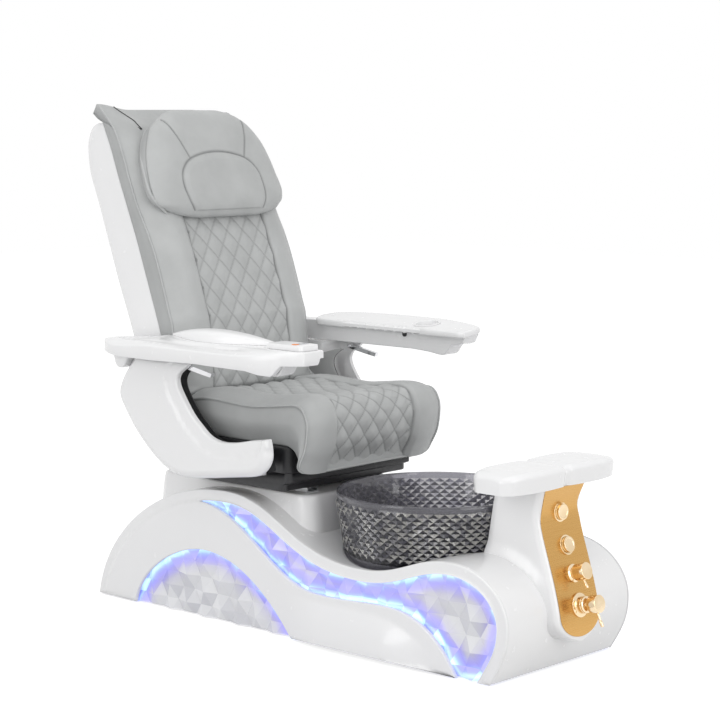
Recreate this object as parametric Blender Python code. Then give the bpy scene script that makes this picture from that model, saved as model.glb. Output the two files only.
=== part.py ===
"""Pedicure spa chair: wave-sided base with a crystal foot bowl, sliding and reclining seat.

Metres, +Z up. +X is the way the sitter faces, +Y is the sitter's left. The origin is on the floor,
under the middle of the chair's outline.
"""
import math

import bmesh
import bpy
from mathutils import Matrix, Vector

# ---------------------------------------------------------------- driving dimensions
CLEAR = 0.0003                 # gap between pieces that touch

# base, side view
BASE_HALF_WIDTH = 0.236        # to the outside of the moulded shell
SHELL_WALL = 0.005
SHELL_FLOOR_GAP = 0.003        # the shell's lower edge over the floor
REAR_FOOT_X = -0.753
REAR_CREST_X = -0.240
REAR_CREST_Z = 0.354
VALLEY_X = 0.235
VALLEY_Z = 0.219
FRONT_CREST_X = 0.529
FRONT_CREST_Z = 0.278
NOSE_X = 0.702
NOSE_Z = 0.141
FRONT_FOOT_X = 0.647

# side covers and their lights
COVER_THICKNESS = 0.010
BAND_WIDTH = 0.030
LIGHT_LAP = 0.006
LIGHT_THICKNESS = 0.006
FACET_PITCH = 0.044
FACET_RISE = 0.007
LOBE_RISE = 0.026
LOBE_REAR_X = 0.025
LOBE_FRONT_X = 0.475
LOBE_TOP_Z = 0.112

# seat riser and slide
RISER_TOP_Z = 0.362
RISER_HALF_WIDTH = 0.180
RISER_REAR_X = -0.565
RISER_FRONT_X = 0.000
RISER_WALL = 0.005
RAIL_SPACING = 0.250
RAIL_WIDTH = 0.040
RAIL_HEIGHT = 0.012
RAIL_WALL = 0.003
RAIL_SLOT = 0.014
RAIL_LENGTH = 0.500
RAIL_CENTRE_X = -0.285

# foot bowl
BOWL_X = 0.279
BOWL_RIM_RADIUS = 0.2555
BOWL_FOOT_RADIUS = 0.168
BOWL_RIM_Z = 0.392
BOWL_FOOT_Z = 0.198
BOWL_WALL = 0.009
BOWL_FACETS_ROUND = 20
BOWL_FACET_ROWS = 4
BOWL_FACET_RISE = 0.0045
BOWL_RIM_BAND = 0.022
DRAIN_RADIUS = 0.022

# console column
COLUMN_HALF_WIDTH = 0.087
COLUMN_TOP_Z = 0.4495
COLUMN_REAR_TOP_X = 0.540
COLUMN_REAR_FOOT_X = 0.505
COLUMN_WALL = 0.006
COLUMN_EDGE_RADIUS = 0.018
PLATE_HALF_WIDTH = 0.075
PLATE_THICKNESS = 0.002
PLATE_TOP_X = 0.681
PLATE_WAIST_X = 0.664
PLATE_WAIST_Z = 0.387
PLATE_FOOT_X = 0.736
PLATE_FOOT_Z = 0.093

# footrest
FOOTREST_X = 0.621
FOOTREST_HALF_LENGTH = 0.215
FOOTREST_HALF_DEPTH = 0.078
FOOTREST_THICKNESS = 0.050
FOOTREST_WALL = 0.004

# controls on the plate
BUTTON_RADIUS = 0.0195
BUTTON_TRAVEL = 0.004
UPPER_BUTTON_Z = 0.385
LOWER_BUTTON_Z = 0.306
DIVERTER_Z = 0.240
DIVERTER_RADIUS = 0.0205
DIVERTER_REACH = 0.044
MIXER_Z = 0.166
MIXER_RADIUS = 0.0215
MIXER_REACH = 0.062

# seat
SEAT_HALF_WIDTH = 0.252
SEAT_REAR_X = -0.372
SEAT_TOP_Z = 0.612
BOARD_Z = 0.430                # underside of the plywood seat board
BOARD_THICKNESS = 0.012
BOARD_HALF_WIDTH = 0.235
BOARD_FRONT_X = -0.030
SKIRT_HALF_WIDTH = 0.222
SKIRT_FRONT_X = -0.035
SKIRT_REAR_X = -0.404
SKIRT_WALL = 0.004
SKIRT_DEPTH = 0.0485
CARRIAGE_THICKNESS = 0.004
CARRIAGE_HALF_WIDTH = 0.150
SEAT_FRAME_HALF_WIDTH = 0.185
SEAT_FRAME_BAR = 0.020
FLAT_BAR = 0.0042              # thickness of the flat bars over the skirt
QUILT_HALF_WIDTH = 0.145
QUILT_DEPTH = 0.008            # the quilted middle below its bolsters
QUILT_RISE = 0.004

# back
BACK_HALF_WIDTH = 0.250
BACK_SHELL_HALF_WIDTH = 0.246
BACK_AXIS_X = -0.425
BACK_AXIS_Z = 0.500
BACK_SHELL_WALL = 0.005
BACK_TUBE_RADIUS = 0.011
BACK_TUBE_Y = 0.182
EAR_THICKNESS = 0.005
EAR_RADIUS = 0.018
PIN_RADIUS = 0.006
PILLOW_HALF_WIDTH = 0.205
PILLOW_RECESS = 0.030
ROD_Y = 0.090
ROD_RADIUS = 0.005
ROD_DEPTH = 0.065              # massage rods behind the cushion's back
ROLLER_RADIUS = 0.038
ROLLER_WIDTH = 0.030
MASSAGE_TRAVEL = 0.250

# arms
ARM_INNER_Y = 0.280
ARM_OUTER_Y = 0.340
ARM_COVER_WALL = 0.004
PANEL_THICKNESS = 0.004
UPRIGHT_THICKNESS = 0.006
ARM_PIN_LENGTH = 0.045
BEAM_INNER_Y = 0.2885
BEAM_OUTER_Y = 0.342
BEAM_LOW_Z = 0.690
ARM_PIVOT_X = -0.535
ARM_PIVOT_Z = 0.684
ARM_TOP_Z = 0.736
TRAY_INNER_Y = 0.262
TRAY_OUTER_Y = 0.386
TRAY_REAR_X = -0.602
TRAY_FRONT_X = 0.150
TRAY_THICKNESS = 0.019
LATCH_X = -0.310
LATCH_Z = 0.683
CUP_RADIUS = 0.034


# ---------------------------------------------------------------- finishes
def finish(name, colour, roughness, metallic=0.0, glow=0.0):
    """One Principled material, glowing in its own colour where glow is above zero."""
    made = bpy.data.materials.new(name)
    made.use_nodes = True
    shader = made.node_tree.nodes["Principled BSDF"]
    shader.inputs["Base Color"].default_value = (*colour, 1.0)
    shader.inputs["Roughness"].default_value = roughness
    shader.inputs["Metallic"].default_value = metallic
    shader.inputs["Emission Color"].default_value = (*colour, 1.0)
    shader.inputs["Emission Strength"].default_value = glow
    made.diffuse_color = (*colour, 1.0)
    return made


for leftover in list(bpy.data.objects):
    bpy.data.objects.remove(leftover, do_unlink=True)

WHITE_GLOSS = finish("white_gloss_shell", (0.86, 0.86, 0.87), 0.15)
WHITE_SATIN = finish("white_satin_plastic", (0.84, 0.84, 0.85), 0.35)
BLACK_PLASTIC = finish("black_plastic", (0.015, 0.015, 0.017), 0.45)
GREY_LEATHER = finish("grey_leather", (0.42, 0.44, 0.44), 0.45)
SMOKED_CRYSTAL = finish("smoked_crystal", (0.08, 0.08, 0.09), 0.05)
GOLD_PLATE = finish("brushed_gold", (0.72, 0.40, 0.12), 0.30, 1.0)
PALE_GOLD = finish("polished_pale_gold", (0.82, 0.68, 0.45), 0.12, 1.0)
CHROME = finish("chrome", (0.75, 0.75, 0.76), 0.08, 1.0)
ZINC_STEEL = finish("zinc_plated_steel", (0.55, 0.55, 0.56), 0.35, 1.0)
DARK_STEEL = finish("black_painted_steel", (0.03, 0.03, 0.033), 0.40, 0.4)
LIGHT_ACRYLIC = finish("light_acrylic", (0.45, 0.70, 1.00), 0.25, glow=2.0)
BRASS = finish("brass", (0.60, 0.42, 0.18), 0.30, 1.0)
PLYWOOD = finish("plywood", (0.50, 0.36, 0.20), 0.60)
SCREEN = finish("screen", (0.02, 0.03, 0.03), 0.08)
ORANGE_KEY = finish("orange_key", (0.85, 0.25, 0.05), 0.40)
GREY_KEY = finish("grey_key", (0.45, 0.45, 0.46), 0.45)


# ---------------------------------------------------------------- shape helpers
def bezier(start, lead, follow, end, steps):
    """Points of a cubic curve from start towards end, without the end point."""
    points = []
    for step in range(steps):
        t = step / steps
        weights = ((1 - t) ** 3, 3 * t * (1 - t) ** 2, 3 * t * t * (1 - t), t ** 3)
        corners = (start, lead, follow, end)
        points.append(tuple(sum(w * c[axis] for w, c in zip(weights, corners)) for axis in range(len(start))))
    return points


def smooth_path(knots, steps):
    """A curve through all knots (Catmull-Rom), with the given number of steps between two."""
    ends = [[2 * a - b for a, b in zip(knots[0], knots[1])], [2 * a - b for a, b in zip(knots[-1], knots[-2])]]
    padded = [ends[0], *knots, ends[1]]
    points = []
    for index in range(1, len(padded) - 2):
        before, start, end, after = padded[index - 1:index + 3]
        lead = [s + (e - b) / 6 for s, e, b in zip(start, end, before)]
        follow = [e - (a - s) / 6 for s, e, a in zip(start, end, after)]
        points += bezier(start, lead, follow, end, steps)
    return points + [tuple(knots[-1])]


def inset_line(points, distance):
    """The open line moved sideways, to the right of its direction where distance is above zero."""
    moved = []
    for index, point in enumerate(points):
        before = Vector(points[max(index - 1, 0)])
        after = Vector(points[min(index + 1, len(points) - 1)])
        along = (after - before).normalized()
        moved.append((point[0] + along.y * distance, point[1] - along.x * distance))
    return moved


def clip_below(points, height):
    """The line cut off where it dips under a height."""
    kept = []
    for start, end in zip(points, points[1:]):
        if start[1] >= height:
            kept.append(start)
        if (start[1] < height) != (end[1] < height):
            share = (height - start[1]) / (end[1] - start[1])
            kept.append((start[0] + share * (end[0] - start[0]), height))
    if points[-1][1] >= height:
        kept.append(points[-1])
    return kept


def body_from(name, verts, faces, look, origin=(0.0, 0.0, 0.0), sharp=math.radians(35)):
    """A closed mesh object whose origin lies at the given point."""
    shift = Vector(origin)
    mesh = bpy.data.meshes.new(name)
    mesh.from_pydata([tuple(Vector(v) - shift) for v in verts], [], faces)
    work = bmesh.new()
    work.from_mesh(mesh)
    bmesh.ops.remove_doubles(work, verts=work.verts, dist=0.00001)
    bmesh.ops.recalc_face_normals(work, faces=work.faces)
    work.to_mesh(mesh)
    work.free()
    mesh.materials.append(look)
    mesh.shade_smooth()
    mesh.set_sharp_from_angle(angle=sharp)
    made = bpy.data.objects.new(name, mesh)
    made.location = shift
    bpy.context.collection.objects.link(made)
    return made


def loft(name, rings, look, origin=(0.0, 0.0, 0.0)):
    """Closed body through rings of equal counts, with flat ends."""
    count = len(rings[0])
    verts = [point for ring in rings for point in ring]
    faces = []
    for ring in range(len(rings) - 1):
        for side in range(count):
            after = (side + 1) % count
            low = ring * count
            faces.append((low + side, low + after, low + count + after, low + count + side))
    faces.append(tuple(range(count)))
    faces.append(tuple(range((len(rings) - 1) * count, len(rings) * count)))
    return body_from(name, verts, faces, look, origin)


def plate_xz(name, outline, near, far, look, origin=(0.0, 0.0, 0.0)):
    """A side-view outline (x, z) given thickness from y = near to y = far."""
    rings = [[(x, y, z) for x, z in outline] for y in (near, far)]
    return loft(name, rings, look, origin)


def bar_x(name, outline, rear, front, look):
    """A cross-section (y, z) carried along X."""
    rings = [[(x, y, z) for y, z in outline] for x in (rear, front)]
    return loft(name, rings, look)


def slab_z(name, outline, low, high, look, origin=(0.0, 0.0, 0.0)):
    """A plan outline (x, y) given height from low to high."""
    rings = [[(x, y, z) for x, y in outline] for z in (low, high)]
    return loft(name, rings, look, origin)


def box(name, low, high, look, origin=(0.0, 0.0, 0.0)):
    """A plain block between two corners."""
    outline = [(low[0], low[1]), (high[0], low[1]), (high[0], high[1]), (low[0], high[1])]
    return slab_z(name, outline, low[2], high[2], look, origin)


def rounded_rectangle(half_x, half_y, radius, steps=4, centre=(0.0, 0.0)):
    """A rectangle with round corners, counter-clockwise."""
    points = []
    corners = ((1, 1, 0), (-1, 1, 90), (-1, -1, 180), (1, -1, 270))
    for side_x, side_y, start in corners:
        for step in range(steps + 1):
            angle = math.radians(start + 90 * step / steps)
            x = centre[0] + side_x * (half_x - radius) + radius * math.cos(angle)
            y = centre[1] + side_y * (half_y - radius) + radius * math.sin(angle)
            points.append((x, y))
    return points


def turned(name, profile, look, centre=(0.0, 0.0, 0.0), axis=(0.0, 0.0, 1.0), sides=32, origin=None):
    """A profile (radius, height) turned round an axis through centre; the profile is a closed loop
    or starts and ends on the axis."""
    turn = Vector((0.0, 0.0, 1.0)).rotation_difference(Vector(axis)).to_matrix().to_4x4()
    place = Matrix.Translation(Vector(centre)) @ turn
    verts = []
    starts = []
    for radius, height in profile:
        starts.append(len(verts))
        around = 1 if radius < 0.00001 else sides
        for side in range(around):
            angle = 2 * math.pi * side / sides
            verts.append(place @ Vector((radius * math.cos(angle), radius * math.sin(angle), height)))
    open_ends = profile[0][0] < 0.00001
    pairs = list(zip(range(len(profile) - 1), range(1, len(profile))))
    if not open_ends:
        pairs.append((len(profile) - 1, 0))
    faces = []
    for low, high in pairs:
        for side in range(sides):
            after = (side + 1) % sides
            corners = [starts[low] + side, starts[low] + after, starts[high] + after, starts[high] + side]
            if profile[low][0] < 0.00001:
                corners = [starts[low], starts[high] + after, starts[high] + side]
            elif profile[high][0] < 0.00001:
                corners = [starts[low] + side, starts[low] + after, starts[high]]
            faces.append(tuple(corners))
    return body_from(name, verts, faces, look, origin if origin is not None else centre)


def cylinder(name, start, end, radius, look, sides=24, origin=None):
    """A plain round bar between two points."""
    along = Vector(end) - Vector(start)
    profile = [(0.0, 0.0), (radius, 0.0), (radius, along.length), (0.0, along.length)]
    return turned(name, profile, look, start, along.normalized(), sides, origin)


def tube(name, path, radius, look, sides=10):
    """A round tube along a path, cut square at both ends."""
    points = [Vector(p) for p in path]
    rings = []
    side = None
    for index, point in enumerate(points):
        before = points[max(index - 1, 0)]
        after = points[min(index + 1, len(points) - 1)]
        along = (after - before).normalized()
        if side is None:
            side = along.orthogonal().normalized()
        side = (side - along * side.dot(along)).normalized()
        up = along.cross(side)
        ring = []
        for step in range(sides):
            angle = 2 * math.pi * step / sides
            ring.append(tuple(point + radius * (math.cos(angle) * side + math.sin(angle) * up)))
        rings.append(ring)
    return loft(name, rings, look)


def as_cutter(piece):
    """Marks a body as a tool that only shapes others."""
    piece.hide_render = True
    piece.display_type = "WIRE"
    return piece


def combine(piece, tool, how="DIFFERENCE"):
    """Cuts, joins or trims a piece by a tool that is then left out."""
    step = piece.modifiers.new(how.lower(), "BOOLEAN")
    step.operation = how
    step.solver = "EXACT"
    step.object = as_cutter(tool)
    return piece


def soften(piece, width, segments=2, angle=40.0):
    """Rounds the edges that are sharper than an angle."""
    step = piece.modifiers.new("edge_round", "BEVEL")
    step.width = width
    step.segments = segments
    step.limit_method = "ANGLE"
    step.angle_limit = math.radians(angle)
    step.use_clamp_overlap = True
    return piece


# ---------------------------------------------------------------- the wave outline of the base
def wave_line(inset, floor):
    """Side view of the base from its rear foot over both crests to its front foot, moved inwards
    by inset and cut off at the floor height given."""
    rear_foot = (REAR_FOOT_X, 0.0)
    rear_crest = (REAR_CREST_X, REAR_CREST_Z)
    valley = (VALLEY_X, VALLEY_Z)
    front_crest = (FRONT_CREST_X, FRONT_CREST_Z)
    nose = (NOSE_X, NOSE_Z)
    front_foot = (FRONT_FOOT_X, 0.0)
    rear_reach = REAR_CREST_X - REAR_FOOT_X
    slope = VALLEY_X - REAR_CREST_X
    swell = FRONT_CREST_X - VALLEY_X
    points = [(REAR_FOOT_X - 0.002, -0.06), (REAR_FOOT_X - 0.001, -0.03)]
    points += bezier(rear_foot, (REAR_FOOT_X + 0.028, REAR_CREST_Z * 0.54),
                     (REAR_CREST_X - rear_reach * 0.50, REAR_CREST_Z), rear_crest, 11)
    points += bezier(rear_crest, (REAR_CREST_X + slope * 0.40, REAR_CREST_Z),
                     (VALLEY_X - slope * 0.52, VALLEY_Z), valley, 12)
    points += bezier(valley, (VALLEY_X + swell * 0.45, VALLEY_Z),
                     (FRONT_CREST_X - swell * 0.40, FRONT_CREST_Z), front_crest, 6)
    for step in range(8):
        angle = math.radians(90 - 90 * step / 8)
        x = FRONT_CREST_X + (NOSE_X - FRONT_CREST_X) * math.cos(angle)
        points.append((x, NOSE_Z + (FRONT_CREST_Z - NOSE_Z) * math.sin(angle)))
    points += bezier(nose, (NOSE_X, NOSE_Z * 0.57), (NOSE_X - 0.027, NOSE_Z * 0.32), front_foot, 4)
    points += [front_foot, (FRONT_FOOT_X - 0.020, -0.03), (FRONT_FOOT_X - 0.040, -0.06)]
    return clip_below(inset_line(points, inset), floor)


def wave_top(x):
    """Height of the base's moulded top at a station x."""
    line = wave_line(0.0, 0.0)
    for start, end in zip(line, line[1:]):
        if start[0] <= x <= end[0]:
            share = (x - start[0]) / max(end[0] - start[0], 0.000001)
            return start[1] + share * (end[1] - start[1])
    return 0.0


def closed_grid(name, front, back, look, origin=(0.0, 0.0, 0.0), sharp=math.radians(35)):
    """Closed body between two grids of points of the same size, joined round their rims."""
    rows = len(front)
    columns = len(front[0])
    verts = [point for row in front for point in row] + [point for row in back for point in row]
    offset = rows * columns
    faces = []
    for row in range(rows - 1):
        for column in range(columns - 1):
            low = row * columns + column
            high = low + columns
            if (row + column) % 2 == 0:
                faces += [(low, low + 1, high + 1), (low, high + 1, high)]
            else:
                faces += [(low, low + 1, high), (low + 1, high + 1, high)]
            faces.append((offset + low, offset + high, offset + high + 1, offset + low + 1))
    rim = [(0, column) for column in range(columns)]
    rim += [(row, columns - 1) for row in range(1, rows)]
    rim += [(rows - 1, column) for column in range(columns - 2, -1, -1)]
    rim += [(row, 0) for row in range(rows - 2, 0, -1)]
    around = [row * columns + column for row, column in rim]
    for start, end in zip(around, around[1:] + around[:1]):
        faces.append((end, start, offset + start, offset + end))
    return body_from(name, verts, faces, look, origin, sharp)


# ---------------------------------------------------------------- foot bowl profile
BOWL_KNEE_Z = 0.250
BOWL_KNEE_RADIUS = 0.2316
POCKET_GAP = BOWL_FACET_RISE + 0.003


def bowl_line(grow=0.0):
    """Outer side of the bowl (radius, z) from its foot to its rim, grown outwards."""
    rise = BOWL_KNEE_Z - BOWL_FOOT_Z
    reach = BOWL_KNEE_RADIUS - BOWL_FOOT_RADIUS
    points = bezier((BOWL_FOOT_RADIUS, BOWL_FOOT_Z), (BOWL_FOOT_RADIUS + reach * 0.70, BOWL_FOOT_Z),
                    (BOWL_KNEE_RADIUS - reach * 0.10, BOWL_KNEE_Z - rise * 0.55),
                    (BOWL_KNEE_RADIUS, BOWL_KNEE_Z), 3)
    points += [(BOWL_KNEE_RADIUS, BOWL_KNEE_Z), (BOWL_RIM_RADIUS, BOWL_RIM_Z)]
    return [(radius + grow, z) for radius, z in points]


def bowl_radius(z):
    """Outer radius of the bowl at a height."""
    line = bowl_line()
    for start, end in zip(line, line[1:]):
        if start[1] <= z <= end[1]:
            return start[0] + (z - start[1]) / (end[1] - start[1]) * (end[0] - start[0])
    return line[-1][0] if z > line[-1][1] else line[0][0]


def bowl_space(name, grow, floor):
    """A solid that holds the bowl with room round it, open upwards past the rim."""
    line = bowl_line(grow)
    profile = [(0.0, floor), (line[0][0], floor)] + line[1:]
    profile += [(line[-1][0], BOWL_RIM_Z + 0.080), (0.0, BOWL_RIM_Z + 0.080)]
    return turned(name, profile, WHITE_GLOSS, (BOWL_X, 0.0, 0.0), sides=24)


# ---------------------------------------------------------------- base: frame and feet
FRAME_BAR = 0.020
FRAME_Z = 0.030
FRAME_HALF_WIDTH = 0.170
FRAME_REAR_X = -0.620
FRAME_FRONT_X = 0.560
UPRIGHT_X = (-0.500, -0.090)
UPRIGHT_Y = 0.130
CROSSBAR_X = (-0.450, -0.090, 0.230, 0.330)


def make_base_frame():
    """Welded ladder of square bar with four uprights under the seat."""
    top = FRAME_Z + FRAME_BAR
    frame = box("base_frame", (FRAME_REAR_X, -FRAME_HALF_WIDTH, FRAME_Z),
                (FRAME_FRONT_X, FRAME_HALF_WIDTH, top), DARK_STEEL)
    stops = [FRAME_REAR_X + FRAME_BAR / 2, *CROSSBAR_X, FRAME_FRONT_X - FRAME_BAR / 2]
    inner = FRAME_HALF_WIDTH - FRAME_BAR
    for index, (rear, front) in enumerate(zip(stops, stops[1:])):
        window = box(f"frame_window_{index}", (rear + FRAME_BAR / 2, -inner, FRAME_Z - 0.01),
                     (front - FRAME_BAR / 2, inner, top + 0.01), DARK_STEEL)
        combine(frame, window)
    half = FRAME_BAR / 2
    for x in UPRIGHT_X:
        for side in (-1, 1):
            height = min(wave_top(x - half), wave_top(x + half)) - SHELL_WALL * 1.25
            post = box(f"frame_post_{x}_{side}", (x - half, side * UPRIGHT_Y - half, FRAME_Z + 0.005),
                       (x + half, side * UPRIGHT_Y + half, height), DARK_STEEL)
            tie = box(f"frame_tie_{x}_{side}", (x - half + 0.002, min(side * UPRIGHT_Y, side * inner) - 0.002,
                                                FRAME_Z + 0.002),
                      (x + half - 0.002, max(side * UPRIGHT_Y, side * inner) + 0.002, top - 0.002), DARK_STEEL)
            combine(frame, post, "UNION")
            combine(frame, tie, "UNION")
    add_levelling_feet(frame)


def add_levelling_feet(frame):
    """Four screw feet under the frame's corners, whose pads stand on the floor."""
    for x in (FRAME_REAR_X + 0.030, FRAME_FRONT_X - 0.030):
        for side in (-1, 1):
            y = side * (FRAME_HALF_WIDTH - FRAME_BAR / 2)
            profile = [(0.0, 0.0), (0.022, 0.0), (0.022, 0.006), (0.018, 0.009), (0.007, 0.011),
                       (0.007, FRAME_Z + 0.002), (0.0, FRAME_Z + 0.002)]
            foot = turned(f"levelling_foot_{x}_{side}", profile, ZINC_STEEL, (x, y, 0.0), sides=12)
            combine(frame, foot, "UNION")


# ---------------------------------------------------------------- base: moulded shell
def make_base_shell():
    """Moulded wave top: a 5 mm skin with a sunk pocket that seats the bowl."""
    outline = wave_line(0.0, SHELL_FLOOR_GAP)
    shell = plate_xz("base_shell", outline, -BASE_HALF_WIDTH, BASE_HALF_WIDTH, WHITE_GLOSS)
    combine(shell, bowl_space("bowl_pocket", POCKET_GAP, BOWL_FOOT_Z - CLEAR))
    inner = wave_line(SHELL_WALL, -0.05)
    hollow = plate_xz("shell_hollow", inner, -BASE_HALF_WIDTH - 0.02, BASE_HALF_WIDTH + 0.02, WHITE_GLOSS)
    combine(hollow, bowl_space("pocket_outside", POCKET_GAP + SHELL_WALL, BOWL_FOOT_Z - CLEAR - SHELL_WALL))
    combine(shell, hollow)
    drain_hole = cylinder("drain_hole", (BOWL_X, 0.0, BOWL_FOOT_Z - 0.03), (BOWL_X, 0.0, BOWL_FOOT_Z + 0.02),
                          DRAIN_RADIUS + 0.010, WHITE_GLOSS)
    combine(shell, drain_hole)
    window = box("column_window", (BOWL_X + BOWL_RIM_RADIUS + 0.022, -0.055, NOSE_Z - 0.010),
                 (NOSE_X + 0.05, 0.055, FRONT_CREST_Z + 0.030), WHITE_GLOSS)
    combine(shell, window)


# ---------------------------------------------------------------- base: side covers and lights
LIGHT_TIP_X = -0.336
LIGHT_TIP_DROP = 0.0012
LIGHT_LOW_X = 0.100
LIGHT_LOW_Z = 0.133
LIGHT_SWELL_X = 0.322
LIGHT_SWELL_Z = 0.140
LIGHT_FOOT_X = 0.552
ARCH_REAR_X = -0.595
ARCH_TOP_X = -0.318
ARCH_TOP_Z = 0.186
ARCH_FRONT_X = 0.003


def light_strip_outline(grow, floor):
    """The long light: its upper edge follows the band, its lower edge waves down to the floor."""
    upper = wave_line(BAND_WIDTH - grow, floor)
    start = next(i for i, point in enumerate(upper) if point[0] >= LIGHT_TIP_X - grow)
    upper = upper[start:]
    tip = (LIGHT_TIP_X, upper[0][1] - grow - LIGHT_TIP_DROP)
    lower = bezier(tip, (LIGHT_TIP_X + 0.170, tip[1] - 0.002), (LIGHT_LOW_X - 0.170, LIGHT_LOW_Z),
                   (LIGHT_LOW_X, LIGHT_LOW_Z), 12)
    lower += bezier((LIGHT_LOW_X, LIGHT_LOW_Z), (LIGHT_LOW_X + 0.080, LIGHT_LOW_Z - 0.002),
                    (LIGHT_SWELL_X - 0.080, LIGHT_SWELL_Z), (LIGHT_SWELL_X, LIGHT_SWELL_Z), 6)
    lower += bezier((LIGHT_SWELL_X, LIGHT_SWELL_Z), (LIGHT_SWELL_X + 0.120, LIGHT_SWELL_Z),
                    (LIGHT_FOOT_X - 0.045, 0.075), (LIGHT_FOOT_X, 0.0), 8)
    lower += [(LIGHT_FOOT_X, 0.0), (LIGHT_FOOT_X + 0.015, -0.04)]
    lower = clip_below(inset_line(lower, grow), floor)
    return lower + upper[::-1]


def arch_outline(grow, floor):
    """The rear light: a half-round that is steeper behind than in front."""
    top = (ARCH_TOP_X, ARCH_TOP_Z)
    line = [(ARCH_REAR_X, -0.04)]
    line += bezier((ARCH_REAR_X, 0.0), (ARCH_REAR_X + 0.010, 0.090), (ARCH_TOP_X - 0.122, ARCH_TOP_Z), top, 10)
    line += bezier(top, (ARCH_TOP_X + 0.128, ARCH_TOP_Z), (ARCH_FRONT_X - 0.078, 0.100), (ARCH_FRONT_X, 0.0), 12)
    line += [(ARCH_FRONT_X, 0.0), (ARCH_FRONT_X + 0.030, -0.04)]
    return clip_below(inset_line(line, -grow), floor)


def smooth_step(value):
    """0 to 1 with soft ends."""
    held = min(max(value, 0.0), 1.0)
    return held * held * (3 - 2 * held)


def lobe_body(name, side, face):
    """The swelling lower part of the side cover, which fades upwards and forwards."""
    columns = 12
    rows = 6
    front = []
    back = []
    for row in range(rows + 1):
        front_row = []
        back_row = []
        for column in range(columns + 1):
            x = LOBE_REAR_X + (LOBE_FRONT_X - LOBE_REAR_X) * column / columns
            run = max((x - LOBE_REAR_X) / (LOBE_FRONT_X - LOBE_REAR_X) - 0.35, 0.0) / 0.65
            ridge = LOBE_TOP_Z * math.sqrt(max(1 - run ** 3, 0.02))
            share = row / rows
            z = SHELL_FLOOR_GAP + (ridge - SHELL_FLOOR_GAP) * share
            swell = smooth_step((x - LOBE_REAR_X) / 0.060 + 0.15) * smooth_step((LOBE_FRONT_X - x) / 0.160)
            height = LOBE_RISE * swell * (1 - share ** 3) ** 0.8
            if column in (0, columns) or row == rows:
                height = -0.002
            front_row.append((x, side * (face + height), z))
            back_row.append((x, side * (face - 0.006), z))
        front.append(front_row)
        back.append(back_row)
    return closed_grid(name, front, back, WHITE_GLOSS)


def make_side_cover(label, side):
    """Flat side moulding with a raised band along the wave and cut-outs for both lights."""
    inner = BASE_HALF_WIDTH + CLEAR
    face = inner + COVER_THICKNESS
    outline = wave_line(0.0, SHELL_FLOOR_GAP)
    cover = plate_xz(f"side_cover_{label}", outline, side * inner, side * face, WHITE_GLOSS)
    combine(cover, lobe_body(f"lobe_{label}", side, face), "UNION")
    reach = (side * (inner - 0.02), side * (face + 0.06))
    combine(cover, plate_xz(f"strip_hole_{label}", light_strip_outline(0.0, -0.02), *reach, WHITE_GLOSS))
    combine(cover, plate_xz(f"arch_hole_{label}", arch_outline(0.0, -0.02), *reach, WHITE_GLOSS))


def facet_slab(name, low, high, side):
    """Slab whose outer face is a lattice of three-sided facets that meet in peaks and pits."""
    pitch_x = FACET_PITCH / 2
    pitch_z = FACET_PITCH * math.sqrt(3) / 2
    columns = int((high[0] - low[0]) / pitch_x) + 2
    rows = int((high[1] - low[1]) / pitch_z) + 2
    outer = BASE_HALF_WIDTH - CLEAR
    seat = outer - FACET_RISE
    back_face = seat - LIGHT_THICKNESS
    front = []
    back = []
    for row in range(rows + 1):
        front_row = []
        back_row = []
        for column in range(columns + 1):
            x = low[0] + column * pitch_x
            z = low[1] + row * pitch_z
            level = ((row + column) % 2 == 0) * ((column + 3 * (row % 2)) % 6 < 2) + 0.0
            front_row.append((x, side * (seat + FACET_RISE * level), z))
            back_row.append((x, side * back_face, z))
        front.append(front_row)
        back.append(back_row)
    return closed_grid(name, front, back, LIGHT_ACRYLIC, sharp=math.radians(3))


def make_light(name, outline, side):
    """Faceted acrylic panel that laps the back of its opening."""
    xs = [point[0] for point in outline]
    zs = [point[1] for point in outline]
    slab = facet_slab(name, (min(xs) - 0.02, min(zs) - 0.02), (max(xs) + 0.02, max(zs) + 0.02), side)
    inner = side * (BASE_HALF_WIDTH - 0.05)
    outer = side * (BASE_HALF_WIDTH + 0.05)
    combine(slab, plate_xz(f"{name}_outline", outline, inner, outer, LIGHT_ACRYLIC), "INTERSECT")


# ---------------------------------------------------------------- seat riser and slide rails
def riser_rings(inset, top, foot):
    """Rings of the riser, narrowing upwards; its front leans more than its rear."""
    rings = []
    for z, flare in ((foot, 0.016), (RISER_TOP_Z - 0.030, 0.006), (RISER_TOP_Z - 0.006, 0.002),
                     (top, -0.006)):
        rear = RISER_REAR_X - flare + inset
        front = RISER_FRONT_X + flare * 1.6 - inset
        half_y = RISER_HALF_WIDTH + flare * 0.4 - inset
        outline = rounded_rectangle((front - rear) / 2, half_y, 0.045 - inset / 2, 4, ((front + rear) / 2, 0.0))
        rings.append([(x, y, z) for x, y in outline])
    return rings


def make_seat_riser():
    """Hollow platform that levels the rear of the wave under the seat slide."""
    riser = loft("seat_riser", riser_rings(0.0, RISER_TOP_Z, 0.200), WHITE_GLOSS)
    combine(riser, loft("riser_hollow", riser_rings(RISER_WALL, RISER_TOP_Z - RISER_WALL, 0.150), WHITE_GLOSS))
    under = wave_line(-CLEAR, -0.05)
    combine(riser, plate_xz("wave_under_riser", under, -0.30, 0.30, WHITE_GLOSS))


def rail_outline(y, z):
    """C-shaped slide rail seen from its end, with a slot on top."""
    half = RAIL_WIDTH / 2
    wall = RAIL_WALL
    lip = RAIL_SLOT / 2
    top = RAIL_HEIGHT
    points = [(-half, 0.0), (half, 0.0), (half, top), (lip, top), (lip, top - wall), (half - wall, top - wall),
              (half - wall, wall), (wall - half, wall), (wall - half, top - wall), (-lip, top - wall),
              (-lip, top), (-half, top)]
    return [(y + dy, z + dz) for dy, dz in points]


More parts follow.
